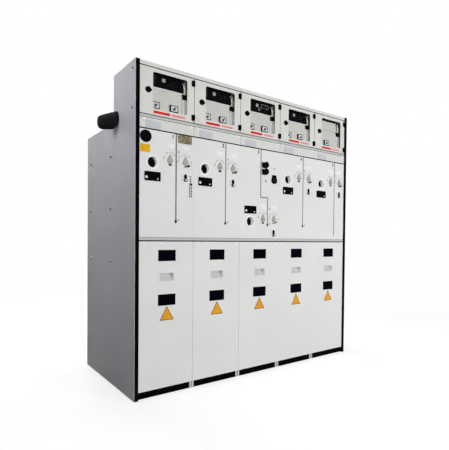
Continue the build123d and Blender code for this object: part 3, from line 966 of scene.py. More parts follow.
class PackedNodes:
    """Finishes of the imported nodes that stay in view, by the start of their names."""

    STARTS: dict[Finish, tuple[str, ...]] = {
        Finishes.ZINC: ("base_rail", "floor_plates"),
        Finishes.PLINTH_PAINT: ("kick_plates",),
        Finishes.FOOT_PAINT: ("bay_walls",),
        Finishes.SIDE_PAINT: ("side_panel", "top_cover", "lv_rear_wall"),
        Finishes.TRIM_PAINT: ("front_trim",),
        Finishes.REAR_PAINT: ("rear_covers",),
        Finishes.TANK_STEEL: ("gas_tank",),
        Finishes.RAIL_PAINT: ("mid_rail", "lv_sill"),
        Finishes.FRONT_PAINT: ("operating_panel", "cable_cover", "grip_cups"),
        Finishes.DOOR_PAINT: ("duct_covers", "lv_roof", "lv_dividers", "lv_door"),
        Finishes.INNER_PAINT: ("lv_mounting_plates",),
        Finishes.COVER_PANE: ("cover_windows",),
        Finishes.PALE_PLASTIC: ("sight_wells",),
        Finishes.COVER_CASTING: ("shaft_covers",),
        Finishes.RUBBER: ("end_cap",),
        Finishes.DOOR_PANE: ("lv_window",),
        Finishes.BLACK_PLASTIC: (
            "lv_instruments", "hinge_brackets", "voltage_indicators", "key_locks",
            "breaker_controls", "pressure_gauge", "lv_door_fittings", "close_button",
            "open_button",
        ),
    }

    def dress(self) -> None:
        """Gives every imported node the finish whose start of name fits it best."""
        finishes = {start: finish for finish, starts in self.STARTS.items() for start in starts}
        for name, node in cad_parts.items():
            finish = finishes[max((s for s in finishes if name.startswith(s)), key=len)]
            node.data.materials.clear()
            node.data.materials.append(finish.material())
            log.info("%s in %s", name, finish.name)


@dataclass(frozen=True)
class Bay:
    """One bay of the unit, counted from 1 at the left."""

    number: int

    @property
    def middle(self) -> float:
        """Middle of the bay across the front."""
        low, high = corners(f"operating_panel_{self.number}")
        return (low.x + high.x) / 2

    @property
    def has_breaker(self) -> bool:
        """Whether it is the circuit breaker's bay."""
        return self.number == BREAKER_BAY

    def at(self, offset: float, height: float, face: float | None = None) -> Triple:
        """A place on one of the bay's faces, the operating panel's if none is named."""
        return (self.middle + offset, PANEL_FACE if face is None else face, height)

    def across(self, offset: float, size: float) -> Pair:
        """Both ends of a width about an offset from the middle of the bay."""
        return span(self.middle + offset, size)


BAYS = tuple(Bay(number) for number in range(1, BAY_COUNT + 1))
FIRST_BAY = BAYS[0]
BAY_MOVES = [(bay.middle - FIRST_BAY.middle, 0.0, 0.0) for bay in BAYS[1:]]
PANEL_FACE = corners("operating_panel_1")[0].y
PANEL_FOOT = corners("operating_panel_1")[0].z
PRINT = 0.25
SCREW_PROFILE = ((0.0, 4.6), (0.5, 5.2), (1.7, 5.2), (2.5, 4.4), (3.0, 2.9), (3.0, 2.2), (2.0, 2.0))


def screws(name: str, places: list[Triple], facing: Facing, scale: float = 1.0) -> Piece:
    """A set of like pan-head screws with a driver recess.

    Args:
        name: Name of the set.
        places: Seats of the screws.
        facing: Outward direction.
        scale: Size over that of the profile.

    Returns:
        The set as one piece.
    """
    stations = [(reach * scale, radius * scale) for reach, radius in SCREW_PROFILE]
    first, *others = places
    head = Bench.turned(name, first, stations, facing, sides=14)
    return Bench.repeat(head, [tuple(Vector(p) - Vector(first)) for p in others])


def printed(name: str, x: Pair, z: Pair) -> Piece:
    """A flat patch of print on the operating panels."""
    return Bench.on_panel(name, x, z, PRINT, edge=0.1, steps=1)


@dataclass
class MimicDiagram:
    """Printed busbar line of a bay, with its arrow, earth branch and number."""

    width: float = 6.5
    first_width: float = 8.6
    top: float = 1395.5
    end: float = 930.0
    long_end: float = 868.0
    offset: float = 55.5
    first_offset: float = 51.0
    breaker_offset: float = 2.0
    jog_height: float = 1098.0
    breaker_lower_offset: float = 60.5
    number_height: float = 21.0
    number_level: float = 1377.0
    number_gap: float = 20.0
    thin: float = 2.2
    tail: float = 55.0
    tip_profile: Profile = ((0.0, 10.5), (PRINT, 10.5))
    tip_share: Pair = (0.85, 1.15)
    tip_drop: float = 3.0
    mark_rise: float = 4.0
    mark_across: Pair = (12.5, 9.0)
    tip_bars: tuple[Pair, ...] = ((17.0, 11.0), (21.0, 7.0), (25.0, 3.5))
    branch_gap: float = 3.0
    branch_reach: float = 16.5
    stem_height: float = 16.0
    blade_ends: Pair = (18.0, 30.0)
    blade_share: float = 1.8
    neck_height: float = 12.0
    branch_levels: Pair = (1250.0, 1300.0)
    breaker_branch_levels: Pair = (958.0, 1030.0)
    earth_bars: tuple[Pair, ...] = ((0.0, 13.0), (3.8, 9.0), (7.6, 5.0))

    def line(self, bay: Bay) -> float:
        """Where the line of a load bay runs, from the middle of the bay."""
        return self.first_offset if bay is FIRST_BAY else self.offset

    def build(self, bay: Bay) -> None:
        """Prints the diagram of one bay.

        Args:
            bay: The bay.
        """
        lines = self.breaker_line(bay) if bay.has_breaker else self.straight_line(bay)
        fit_set(f"mimic_line_{bay.number}", lines, Finishes.MIMIC_INK)
        top_offset = self.breaker_offset if bay.has_breaker else self.line(bay)
        figure = Bench.words(
            f"bay_number_{bay.number}",
            bay.at(top_offset - self.number_gap, self.number_level),
            str(bay.number), self.number_height, PRINT,
        )
        fit(figure, Finishes.NUMBER_INK)
        if bay.number != BAY_COUNT:
            self.arrow(bay, self.breaker_lower_offset if bay.has_breaker else self.line(bay))
        self.earth_branch(bay)

    def straight_line(self, bay: Bay) -> list[Piece]:
        """The plain line of a load bay."""
        end = self.end
        run = bay.across(self.line(bay), self.first_width if bay is FIRST_BAY else self.width)
        if bay.number == BAY_COUNT:
            end = self.long_end + self.tail
            fit(printed("mimic_tail", run, (self.long_end, end)), Finishes.NUMBER_INK)
        return [printed("line", run, (end, self.top))]

    def breaker_line(self, bay: Bay) -> list[Piece]:
        """The line of the breaker bay, with its step across."""
        upper = bay.across(self.breaker_offset, self.width)
        lower = bay.across(self.breaker_lower_offset, self.width)
        return [
            printed("upper", upper, (self.jog_height, self.top)),
            printed("step", (upper[0], lower[1]), span(self.jog_height, self.width)),
            printed("lower", lower, (self.end, self.jog_height)),
        ]

    def arrow(self, bay: Bay, offset: float) -> None:
        """Dark tip under the line, with the small mark beside it."""
        seat = bay.at(offset, self.end - self.tip_drop)
        tip = Bench.turned("tip", seat, self.tip_profile, sides=4, share=self.tip_share, edge=0.1)
        fit_set(f"mimic_tip_{bay.number}", [tip], Finishes.DARK_INK)
        level = self.end + self.mark_rise
        shift, width = self.mark_across
        marks = [printed("mark", bay.across(offset + shift, width), span(level, self.thin))]
        marks += [
            printed("bar", bay.across(offset + reach, self.thin), span(level, height))
            for reach, height in self.tip_bars
        ]
        fit_set(f"mimic_mark_{bay.number}", marks, Finishes.FAINT_INK)

    def earth_branch(self, bay: Bay) -> None:
        """Thin branch from the line to the earth sign beside it."""
        start = self.breaker_lower_offset if bay.has_breaker else self.line(bay)
        foot, head = self.breaker_branch_levels if bay.has_breaker else self.branch_levels
        x = bay.middle + start + self.branch_reach
        stem = span(x, self.thin)
        blade = tuple(foot + end for end in self.blade_ends)
        marks = [
            printed("foot", (bay.middle + start + self.branch_gap, x), span(foot, self.thin)),
            printed("stem", stem, (foot, foot + self.stem_height)),
            printed("blade", span(x, self.thin * self.blade_share), blade),
            printed("neck", stem, (head - self.neck_height, head)),
        ]
        marks += [
            printed("bar", span(x, width), span(head + rise, self.thin))
            for rise, width in self.earth_bars
        ]
        fit_set(f"earth_branch_{bay.number}", marks, Finishes.FAINT_INK)


@dataclass
class ShaftStations:
    """Surroundings of the two drive shafts of a bay: label, arcs of travel and latch tabs."""

    arc_radius: float = 36.0
    arc_width: float = 3.8
    left_arcs: tuple[Pair, ...] = (
        (158.0, 26.0), (124.0, 10.0), (108.0, 10.0), (78.0, 10.0), (60.0, 10.0), (36.0, 16.0),
    )
    right_arcs: tuple[Pair, ...] = (
        (128.0, 12.0), (100.0, 10.0), (76.0, 8.0), (44.0, 16.0), (-12.0, 14.0), (-42.0, 16.0),
    )
    label_size: Pair = (50.0, 25.0)
    label_rise: float = 70.0
    tab_drop: float = 29.5
    tab_size: Pair = (17.0, 9.0)
    tab_proud: float = 4.0
    tab_edge: float = 1.2
    small_tab: float = 0.8
    lever_size: Pair = (36.0, 5.0)
    lever_shift: Pair = (8.0, 2.0)
    lever_lean: float = 14.0
    nub_shift: Pair = (17.0, 5.0)
    nub_profile: Profile = ((0.0, 6.4), (6.5, 6.4), (8.0, 5.0), (8.4, 2.5))
    pivot_drop: float = 8.0

    @staticmethod
    def shafts(bay: Bay) -> tuple[Pair, Pair]:
        """Offset and height of the left and of the right shaft."""
        left, right, rise = (21.5, 114.0, 127.5) if bay.has_breaker else (13.5, 109.0, 415.5)
        return (left, PANEL_FOOT + rise), (right, PANEL_FOOT + rise)

    def build(self, bay: Bay) -> None:
        """Fits everything around the shafts of one bay.

        Args:
            bay: The bay.
        """
        left, right = self.shafts(bay)
        arcs = [
            Bench.arc(
                "arc", bay.at(*shaft), self.arc_radius, self.arc_width, PRINT, *ends
            )
            for shaft, all_ends in ((left, self.left_arcs), (right, self.right_arcs))
            for ends in all_ends
        ]
        fit_set(f"travel_arcs_{bay.number}", arcs, Finishes.FAINT_INK)
        width, height = self.label_size
        labels = [
            Bench.on_panel(
                "label", bay.across(offset, width), span(level + self.label_rise, height),
                proud=0.6, edge=0.25,
            )
            for offset, level in (left, right)
        ]
        fit_set(f"shaft_labels_{bay.number}", labels, Finishes.WHITE_PLATE)
        self.latches(bay, left, right)
        face = corners("shaft_covers")[0].y
        places = [bay.at(offset, level - self.pivot_drop, face) for offset, level in (left, right)]
        fit(screws(f"cover_pivots_{bay.number}", places, Facing.FRONT), Finishes.COVER_CASTING)

    def tab(self, bay: Bay, place: Pair, size: Pair) -> Piece:
        """One tab about a place on the panel."""
        return Bench.on_panel(
            "tab", bay.across(place[0], size[0]), span(place[1], size[1]), self.tab_proud,
            self.tab_edge,
        )

    def latches(self, bay: Bay, left: Pair, right: Pair) -> None:
        """Dark latch tabs that look out from under the covers."""
        tabs = [self.tab(bay, (left[0], left[1] - self.tab_drop), self.tab_size)]
        low_right = (right[0], right[1] - self.tab_drop)
        if bay.has_breaker:
            place = tuple(at + shift for at, shift in zip(low_right, self.lever_shift))
            lever = self.tab(bay, place, self.lever_size)
            tabs.append(Bench.lean(lever, bay.at(*place), self.lever_lean))
        else:
            tabs.append(self.tab(bay, low_right, tuple(s * self.small_tab for s in self.tab_size)))
            place = (at + shift for at, shift in zip(low_right, self.nub_shift))
            tabs.append(
                Bench.turned("nub", bay.at(*place), self.nub_profile, sides=20)
            )
        fit_set(f"shaft_latches_{bay.number}", tabs, Finishes.LATCH_BLACK)


@dataclass
class SightWell:
    """Black glass at the bottom of a bay's sight well, inside a rounded pale lip, and a glowing
    pale lining that paints light onto the well's shaded wall.
    """

    glass_profile: Profile = ((0.8, 27.2), (1.6, 27.2), (2.2, 26.6), (3.4, 19.04), (4.0, 8.16))
    lining_radius: float = 27.6
    lining_width: float = 0.7
    lining_depth: float = 24.5
    lining_ends: Pair = (-100.0, 150.0)
    floor_depth: float = 2.0

    def build(self, bay: Bay) -> None:
        """Fits the glass of one bay's well, and the lining that paints light on its wall.

        Args:
            bay: The bay.
        """
        offset, rise = (-81.5, 103.5) if bay.has_breaker else (-88.0, 388.5)
        seat = bay.at(offset, PANEL_FOOT + rise, corners("sight_wells")[1].y - self.floor_depth)
        glass = Bench.turned(f"sight_glass_{bay.number}", seat, self.glass_profile, sides=40)
        fit(glass, Finishes.SIGHT_GLASS)
        # A pale arc on the well's wall whose glow is painted light, brightening a wall that lies in
        # shade.
        lining = Bench.arc(
            f"well_lining_{bay.number}", seat, self.lining_radius, self.lining_width,
            self.lining_depth, *self.lining_ends,
        )
        fit(lining, Finishes.WELL_PLASTIC)


@dataclass
class VoltageIndicator:
    """Test sockets and lamps on a bay's black indicator unit."""

    large: Triple = (-36.8, -7.0, 7.2)
    small: Triple = (27.0, -13.0, 4.1)
    lamp_offsets: Triple = (-26.0, 0.0, 26.0)
    lamp_rise: float = 13.0
    lamp_profile: Profile = ((0.0, 3.0), (0.8, 3.0), (1.7, 2.2), (2.0, 1.0))
    socket_profile: Profile = ((0.0, 1.0), (1.6, 1.0), (2.4, 0.86), (2.4, 0.52), (1.0, 0.44))

    def build(self, bay: Bay) -> None:
        """Fits the sockets and lamps of one bay.

        Args:
            bay: The bay.
        """
        offset, rise = (-81.5, 176.0) if bay.has_breaker else (-88.0, 316.0)
        level = PANEL_FOOT + rise
        face = corners("voltage_indicators")[0].y
        sockets = [
            Bench.turned(
                "socket", bay.at(offset + across, level + up, face),
                [(reach, radius * share) for reach, share in self.socket_profile], sides=28,
            )
            for across, up, radius in (self.large, self.small)[bay.number == BAY_COUNT:]
        ]
        fit_set(f"test_sockets_{bay.number}", sockets, Finishes.SOCKET_METAL)
        first, *others = self.lamp_offsets
        lamp = Bench.turned(
            f"phase_lamps_{bay.number}", bay.at(offset + first, level + self.lamp_rise, face),
            self.lamp_profile, sides=16,
        )
        moves = [(other - first, 0.0, 0.0) for other in others]
        fit(Bench.repeat(lamp, moves), Finishes.GLOSS_BLACK)


@dataclass
class KeyLock:
    """Key lock of a bay: oval plate, round barrel with a pale face, and its slot."""

    plate_profile: Profile = ((0.0, 13.5), (2.6, 13.5), (3.6, 12.15), (4.0, 9.45))
    plate_share: Pair = (0.68, 1.0)
    barrel_drop: float = 18.5
    barrel_profile: Profile = ((0.0, 9.8), (7.6, 9.8), (8.6, 9.212), (9.0, 8.232), (8.0, 6.1))
    face_reach: float = 8.0
    face_profile: Profile = ((0.0, 5.8), (1.0, 5.8), (1.5, 5.6), (1.7, 3.0))
    slot_size: Pair = (1.4, 7.0)
    slot_reach: Pair = (9.9, 9.0)

    @staticmethod
    def middle(bay: Bay) -> Pair:
        """Offset and height of the oval plate."""
        return (114.0, PANEL_FOOT + 41.0) if bay.has_breaker else (109.0, PANEL_FOOT + 332.5)

    def build_all(self) -> None:
        """Builds the locks of every bay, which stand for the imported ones."""
        plates, barrels, faces, slots = [], [], [], []
        for bay in BAYS:
            offset, level = self.middle(bay)
            low = level - self.barrel_drop
            seat = bay.at(offset, level)
            plates.append(Bench.turned("plate", seat, self.plate_profile, share=self.plate_share))
            seat = bay.at(offset, low)
            barrels.append(Bench.turned("barrel", seat, self.barrel_profile))
            seat = bay.at(offset, low, PANEL_FACE - self.face_reach)
            faces.append(Bench.turned("face", seat, self.face_profile, sides=28))
            width, height = self.slot_size
            depth = tuple(PANEL_FACE - reach for reach in self.slot_reach)
            slots.append(
                Bench.plate("slot", bay.across(offset, width), depth, span(low, height), edge=0.3)
            )
        fit_set(
            "key_lock_plates", plates + barrels, Finishes.BLACK_PLASTIC, replaces=("key_locks",)
        )
        fit_set("key_lock_faces", faces, Finishes.SOCKET_METAL)
        fit_set("key_slots", slots, Finishes.DARK_INK)


@dataclass
class LockMarks:
    """Small printed marks left of each key lock."""

    offset: float = -22.0
    levels: tuple[float, ...] = (8.0, -2.0, -12.0, -22.0)
    size: Pair = (7.0, 2.0)

    def build(self, bay: Bay) -> None:
        """Prints the marks of one bay.

        Args:
            bay: The bay.
        """
        offset, level = KeyLock.middle(bay)
        width, height = self.size
        top, *others = self.levels
        first = printed(
            f"lock_marks_{bay.number}", bay.across(offset + self.offset, width),
            span(level + top, height),
        )
        moves = [(0.0, 0.0, other - top) for other in others]
        fit(Bench.repeat(first, moves), Finishes.FAINT_INK)


@dataclass
class BreakerControls:
    """Push buttons and charging socket of the breaker bay."""

    middle_offset: float = 29.5
    levels: Pair = (459.25, 417.75)
    reach: float = 26.0
    stem_radius: float = 8.8
    cap_profile: Profile = (
        (-8.0, 18.4), (-7.2, 19.2), (-2.2, 19.2), (-0.8, 18.5), (0.0, 17.0), (0.0, 14.6),
        (-1.1, 13.4), (-1.6, 10.2),
    )
    socket_place: Pair = (112.5, 371.5)
    drive_profile: Profile = ((0.0, 5.6), (2.6, 5.6), (3.2, 4.9), (3.2, 2.4), (1.0, 2.0))
    drive_depth: float = 4.0
    rim_radius: float = 10.6
    rim_wire: float = 1.1
    window_place: Pair = (44.0, 361.0)
    window_profile: Profile = ((0.0, 8.0), (0.8, 8.0), (1.6, 7.0), (1.6, 6.0), (1.0, 5.6))
    top_window_place: Pair = (116.0, 447.0)
    top_window_profile: Profile = ((0.0, 6.0), (0.8, 6.0), (1.4, 5.0), (1.0, 4.2))
    marks: tuple[Triple, ...] = ((14.0, 9.0, 2.0), (20.0, 2.0, 8.0), (66.0, 7.0, 2.0))

    def build(self, bay: Bay) -> None:
        """Fits the buttons, the drive of the charging socket and the state windows.

        Args:
            bay: The breaker bay.
        """
        for name, level in zip(("close_button", "open_button"), self.levels):
            self.button(bay, name, PANEL_FOOT + level)
        self.socket(bay)
        self.counter(bay)

    def button(self, bay: Bay, name: str, level: float) -> None:
        """A round cap with a dished face on its stem."""
        stem_end = corners(name)[1].y
        full = stem_end - PANEL_FACE + self.reach
        stations = [(0.0, self.stem_radius), (full + self.cap_profile[0][0], self.stem_radius)]
        stations += [(full + reach, radius) for reach, radius in self.cap_profile]
        seat = bay.at(self.middle_offset, level, stem_end)
        button = Bench.turned(f"{name}_cap", seat, stations, sides=48)
        fit(button, Finishes.BUTTON_BLACK, body=name, replaces=(name,))

    def socket(self, bay: Bay) -> None:
        """Hexagonal drive inside the charging socket."""
        face = corners("breaker_controls")[0].y
        offset, rise = self.socket_place
        seat = bay.at(offset, PANEL_FOOT + rise, face + self.drive_depth)
        drive = Bench.turned("charging_drive", seat, self.drive_profile, sides=6)
        seat = bay.at(offset, PANEL_FOOT + rise, face - 0.2)
        rim = Bench.ring("charging_rim", seat, self.rim_radius, self.rim_wire)
        fit_set("charging_socket_drive", [drive, rim], Finishes.LATCH_BLACK)

    def counter(self, bay: Bay) -> None:
        """Small grey windows and marks beside the socket."""
        windows = [
            Bench.turned(
                name, bay.at(place[0], PANEL_FOOT + place[1]), profile, sides=sides
            )
            for name, place, profile, sides in (
                ("window", self.window_place, self.window_profile, 28),
                ("top_window", self.top_window_place, self.top_window_profile, 24),
            )
        ]
        fit_set("state_windows", windows, Finishes.GREY_PLATE)
        level = PANEL_FOOT + self.window_place[1]
        marks = [
            printed("mark", bay.across(offset, width), span(level, height))
            for offset, width, height in self.marks
        ]
        fit_set("state_marks", marks, Finishes.FAINT_INK)


@dataclass
class FirstBayExtras:
    """Gauge, blank plates and symbol column of the first bay."""

    gauge_place: Pair = (-127.5, 517.5)
    rim_profile: Profile = (
        (0.0, 31.0), (5.6, 31.0), (7.4, 30.1), (8.0, 28.6), (8.0, 27.4), (6.6, 26.4), (4.4, 26.0),
    )
    glass_profile: Profile = ((0.0, 25.9), (1.0, 25.9), (2.2, 17.05), (2.6, 6.2))
    glass_reach: float = 4.4
    tick_reach: float = 5.2
    tick_size: Triple = (20.5, 2.2, 0.4)
    tick_sweep: float = 5.0
    ticks: range = range(-40, 221, 26)
    needle_shift: Pair = (-6.0, -5.0)
    needle_size: Pair = (18.0, 1.6)
    needle_reach: Pair = (7.4, 6.9)
    needle_lean: float = -32.0
    yellow_plate: tuple[Pair, Pair] = ((-806.5, -752.5), (1277.5, 1317.5))
    rating_plate: tuple[Pair, Pair] = ((-589.5, -501.5), (1350.0, 1395.0))
    rivets: tuple[Pair, Pair] = ((-585.0, -506.0), (1354.0, 1391.0))
    symbol_middle: float = -508.5
    symbol_rows: tuple[Triple, ...] = (
        (14.0, 1177.0, 3.0), (4.0, 1169.0, 10.0), (19.0, 1160.0, 3.0), (10.0, 1151.0, 7.0),
        (21.0, 1121.0, 3.4), (21.0, 1112.0, 3.4), (14.0, 1103.0, 3.4), (21.0, 1094.0, 3.4),
        (21.0, 1085.0, 3.4), (14.0, 1076.0, 3.4), (21.0, 1067.0, 3.4),
    )
    symbol_sides: Pair = (-515.5, -501.5)
    side_width: float = 3.0
    side_levels: Pair = (1060.0, 1124.0)
    block: tuple[Pair, Pair] = ((-506.5, 17.0), (1134.0, 12.0))

    def build(self, bay: Bay) -> None:
        """Fits the extras of the first bay.

        Args:
            bay: The first bay.
        """
        self.gauge(bay)
        yellow = Bench.on_panel("blank_yellow_plate", *self.yellow_plate, proud=0.8, edge=0.35)
        fit(yellow, Finishes.YELLOW_PLATE)
        rating = Bench.on_panel("blank_rating_plate", *self.rating_plate, proud=1.0, edge=0.4)
        fit(rating, Finishes.BRASS_PLATE)
        places = [(x, PANEL_FACE - 1.0, z) for x in self.rivets[0] for z in self.rivets[1]]
        fit(screws("rating_plate_rivets", places, Facing.FRONT, scale=0.42), Finishes.SCREW_ZINC)
        self.symbols()

    def gauge(self, bay: Bay) -> None:
        """Pressure gauge with a stepped rim, a black dial and a needle."""
        offset, level = self.gauge_place[0], PANEL_FOOT + self.gauge_place[1]
        rim = Bench.turned("gauge_rim", bay.at(offset, level), self.rim_profile, sides=56)
        fit(rim, Finishes.GLOSS_BLACK, replaces=("pressure_gauge",))
        seat = bay.at(offset, level, PANEL_FACE - self.glass_reach)
        fit(Bench.turned("gauge_glass", seat, self.glass_profile, sides=48), Finishes.SIGHT_GLASS)
        centre = bay.at(offset, level, PANEL_FACE - self.tick_reach)
        ticks = [
            Bench.arc("tick", centre, *self.tick_size, start, self.tick_sweep)
            for start in self.ticks
        ]
        fit_set("gauge_ticks", ticks, Finishes.KEY_GREY)
        across, up = self.needle_shift
        width, height = self.needle_size
        needle = Bench.plate(
            "needle", bay.across(offset + across, width),
            tuple(PANEL_FACE - reach for reach in self.needle_reach), span(level + up, height),
            edge=0.2,
        )
        Bench.lean(needle, bay.at(offset, level), self.needle_lean)
        fit_set("gauge_needle", [needle], Finishes.KEY_GREY)

    def symbols(self) -> None:
        """Column of small plain marks below the lock."""
        rows = [
            printed("row", span(self.symbol_middle, width), span(level, height))
            for width, level, height in self.symbol_rows
        ]
        rows += [
            Bench.on_panel(
                "side", span(x, self.side_width), self.side_levels, PRINT + 0.05, edge=0.1, steps=1
            )
            for x in self.symbol_sides
        ]
        fit_set("symbol_column", rows, Finishes.NUMBER_INK)
        x, z = (span(*ends) for ends in self.block)
        fit(Bench.on_panel("symbol_block", x, z, proud=2.0, edge=0.6), Finishes.BLACK_PLASTIC)


@dataclass
class CableCovers:
    """Screws, blank signs, and the sloped floors and cheeks of the grips, the floors in a darker
    paint that stands for shade.
    """

    screw_inset: float = 27.0
    screw_level: float = 808.0
    sign_level: float = 424.0
    sign_radius: float = 50.7
    sign_share: Pair = (0.98, 1.0)
    border_inset: float = 1.6
    field_inset: float = 8.0
    grip_half: float = 41.2
    grip_rim: float = 5.7
    floor_thickness: float = 2.4
    floor_gap: float = 1.6
    floor_slope: float = 14.5
    floor_bend: float = 20.0
    cheek_thickness: float = 2.0
    cheek_slope: float = 24.0

    def build(self) -> None:
        """Fits the covers of every bay."""
        low, high = corners("cable_cover_1")
        reach = (high.x - low.x) / 2 - self.screw_inset
        places = [
            bay.at(side * reach, self.screw_level) for bay in BAYS for side in (-1, 1)
        ]
        fit(screws("cover_screws", places, Facing.FRONT), Finishes.PAINTED_SCREW)
        seat = FIRST_BAY.at(0.0, self.sign_level)
        for name, inset, thickness, finish in (
            ("sign_plates", 0.0, 0.5, Finishes.AMBER_PLATE),
            ("sign_borders", self.border_inset, 0.7, Finishes.BORDER_INK),
            ("sign_fields", self.field_inset, 0.9, Finishes.AMBER_PLATE),
        ):
            stations = [(reach, self.sign_radius - inset) for reach in (0.0, thickness)]
            sign = Bench.turned(name, seat, stations, sides=3, share=self.sign_share, edge=0.15)
            fit(Bench.repeat(sign, BAY_MOVES), finish)
        self.grips()

    def grips(self) -> None:
        """Sloped floors of the recessed grips, painted darker as painted shade, and a sloped cheek
        at the right of each.
        """
        low, high = corners("grip_cups")
        back = high.y - self.floor_gap
        levels = (low.z + self.grip_rim, high.z - self.grip_rim)
        floor = Bench.plate(
            "grip_floors", span(FIRST_BAY.middle, 2 * self.grip_half),
            (back - self.floor_thickness, back), levels, edge=0.5,
        )
        lower = low.z + self.floor_bend
        Bench.slope(
            floor, lambda middle, normal: middle.z < lower and abs(normal.y) < 0.9,
            (0.0, -self.floor_slope, 0.0),
        )
        right = FIRST_BAY.middle + self.grip_half
        cheek = Bench.plate(
            "grip_cheeks", (right - self.cheek_thickness, right), (low.y + 0.4, back), levels,
            edge=0.3,
        )
        behind = (low.y + high.y) / 2
        Bench.slope(
            cheek, lambda middle, normal: middle.y > behind, (-self.cheek_slope, 0.0, 0.0)
        )
        fit(Bench.repeat(floor, BAY_MOVES), Finishes.GRIP_PAINT)
        fit(Bench.repeat(cheek, BAY_MOVES), Finishes.FRONT_PAINT)


@dataclass
class Gaskets:
    """Black strips over the gaps along the front that stand for the shade in them (painted shade),
    and the painted fillers in the seams of panels and covers.
    """

    # Heights of the dark strips over the gaps below the mid rail, above the operating panels and
    # below the sill, all painted shade.
    levels: tuple[Pair, ...] = ((818.5, 824.9), (1395.0, 1401.4), (1454.1, 1456.3))
    lip: float = 0.4
    filler_width: float = 1.3
    filler_inset: float = 0.35
    cover_inset: float = 0.05

    def build(self) -> None:
        """Fits the dark strips of painted shade over the full width and the fillers of both rows of
        seams.
        """
        low, high = corners("mid_rail")
        shade_strips = [
            Bench.on_panel("seal", (low.x, high.x), level, self.lip, edge=0.15)
            for level in self.levels
        ]
        fit_set("front_seals", shade_strips, Finishes.SEAL_RUBBER)
        low, high = corners("operating_panel_1")
        seam = corners("operating_panel_2")[0].x
        filler = Bench.plate(
            "seam_fillers", span((high.x + seam) / 2, self.filler_width),
            (low.y + self.filler_inset, high.y), (low.z, high.z), edge=0.15,
        )
        fit(Bench.repeat(filler, BAY_MOVES[:-1]), Finishes.FRONT_PAINT)
        low, high = corners("cable_cover_3")
        seam = corners("cable_cover_4")[0].x
        filler = Bench.plate(
            "cover_fillers", (high.x, seam), (low.y + self.cover_inset, high.y), (low.z, high.z),
            edge=0.1,
        )
        move = (BAYS[3].middle - BAYS[2].middle, 0.0, 0.0)
        fit(Bench.repeat(filler, [move]), Finishes.FRONT_PAINT)


@dataclass
class DuctStrip:
    """Blank plates and screws on the strip between doors and panels."""

    plate_ends: Pair = (-128.5, -41.5)
    plate_levels: Pair = (1402.0, 1443.0)
    screw_offsets: Pair = (-137.5, 144.5)
    screw_level: float = 1447.0
    screw_scale: float = 1.25

    def build(self) -> None:
        """Fits the strip of every bay."""
        x = tuple(FIRST_BAY.middle + end for end in self.plate_ends)
        plate = Bench.on_panel("duct_plates", x, self.plate_levels, proud=1.0, edge=0.4)
        fit(Bench.repeat(plate, BAY_MOVES), Finishes.LILAC_PLATE)
        places = [
            bay.at(offset, self.screw_level)
            for bay in BAYS for offset in self.screw_offsets
        ]
        fit(screws("duct_screws", places, Facing.FRONT, self.screw_scale), Finishes.PAINTED_SCREW)


@dataclass
class BodyScrews:
    """Screws on the sides and on the rear of the upper box."""

    side_places: tuple[Pair, ...] = (
        (-334.0, 1698.0), (-334.0, 1500.0), (-28.0, 1298.0), (316.0, 1300.0), (-28.0, 1000.0),
        (318.0, 1002.0), (-30.0, 700.0), (314.0, 702.0),
    )
    side_scale: float = 1.8
    # How far the dark disc of painted shade sits towards the front of each side head.
    recess_shift: float = 4.0
    recess_reach: float = 5.4
    recess_profile: Profile = ((-2.0, 6.4), (0.0, 6.4), (0.3, 5.8))
    stud_offsets: Pair = (-800.0, 800.0)
    stud_levels: Pair = (1640.0, 1600.0)
    stud_scale: float = 1.3

    def build(self) -> None:
        """Fits the screws on both sides, each side head with a dark disc set towards its front as
        painted shade, and the screws on the rear of the upper box.
        """
        for node, facing in (("side_panel_left", Facing.LEFT), ("side_panel_right", Facing.RIGHT)):
            low, high = corners(node)
            face = low.x if facing is Facing.LEFT else high.x
            places = [(face, y, z) for y, z in self.side_places]
            heads = screws(f"{node}_screws", places, facing, self.side_scale)
            fit(heads, Finishes.PAINTED_SCREW)
            # Painted shade: a dark disc set forward of each side head's middle stands for the
            # shaded front side of the dome.
            x, y, z = places[0]
            seat = (x + facing.outward.x * self.recess_reach, y - self.recess_shift, z)
            recess = Bench.turned(
                f"{node}_recesses", seat, self.recess_profile, facing, sides=14
            )
            moves = [(0.0, other[1] - y, other[2] - z) for other in places[1:]]
            fit(Bench.repeat(recess, moves), Finishes.LATCH_BLACK)
        back = corners("lv_rear_wall")[1].y
        places = [(x, back, z) for x in self.stud_offsets for z in self.stud_levels]
        studs = screws("upper_box_studs", places, Facing.REAR, self.stud_scale)
        fit(studs, Finishes.SCREW_ZINC)


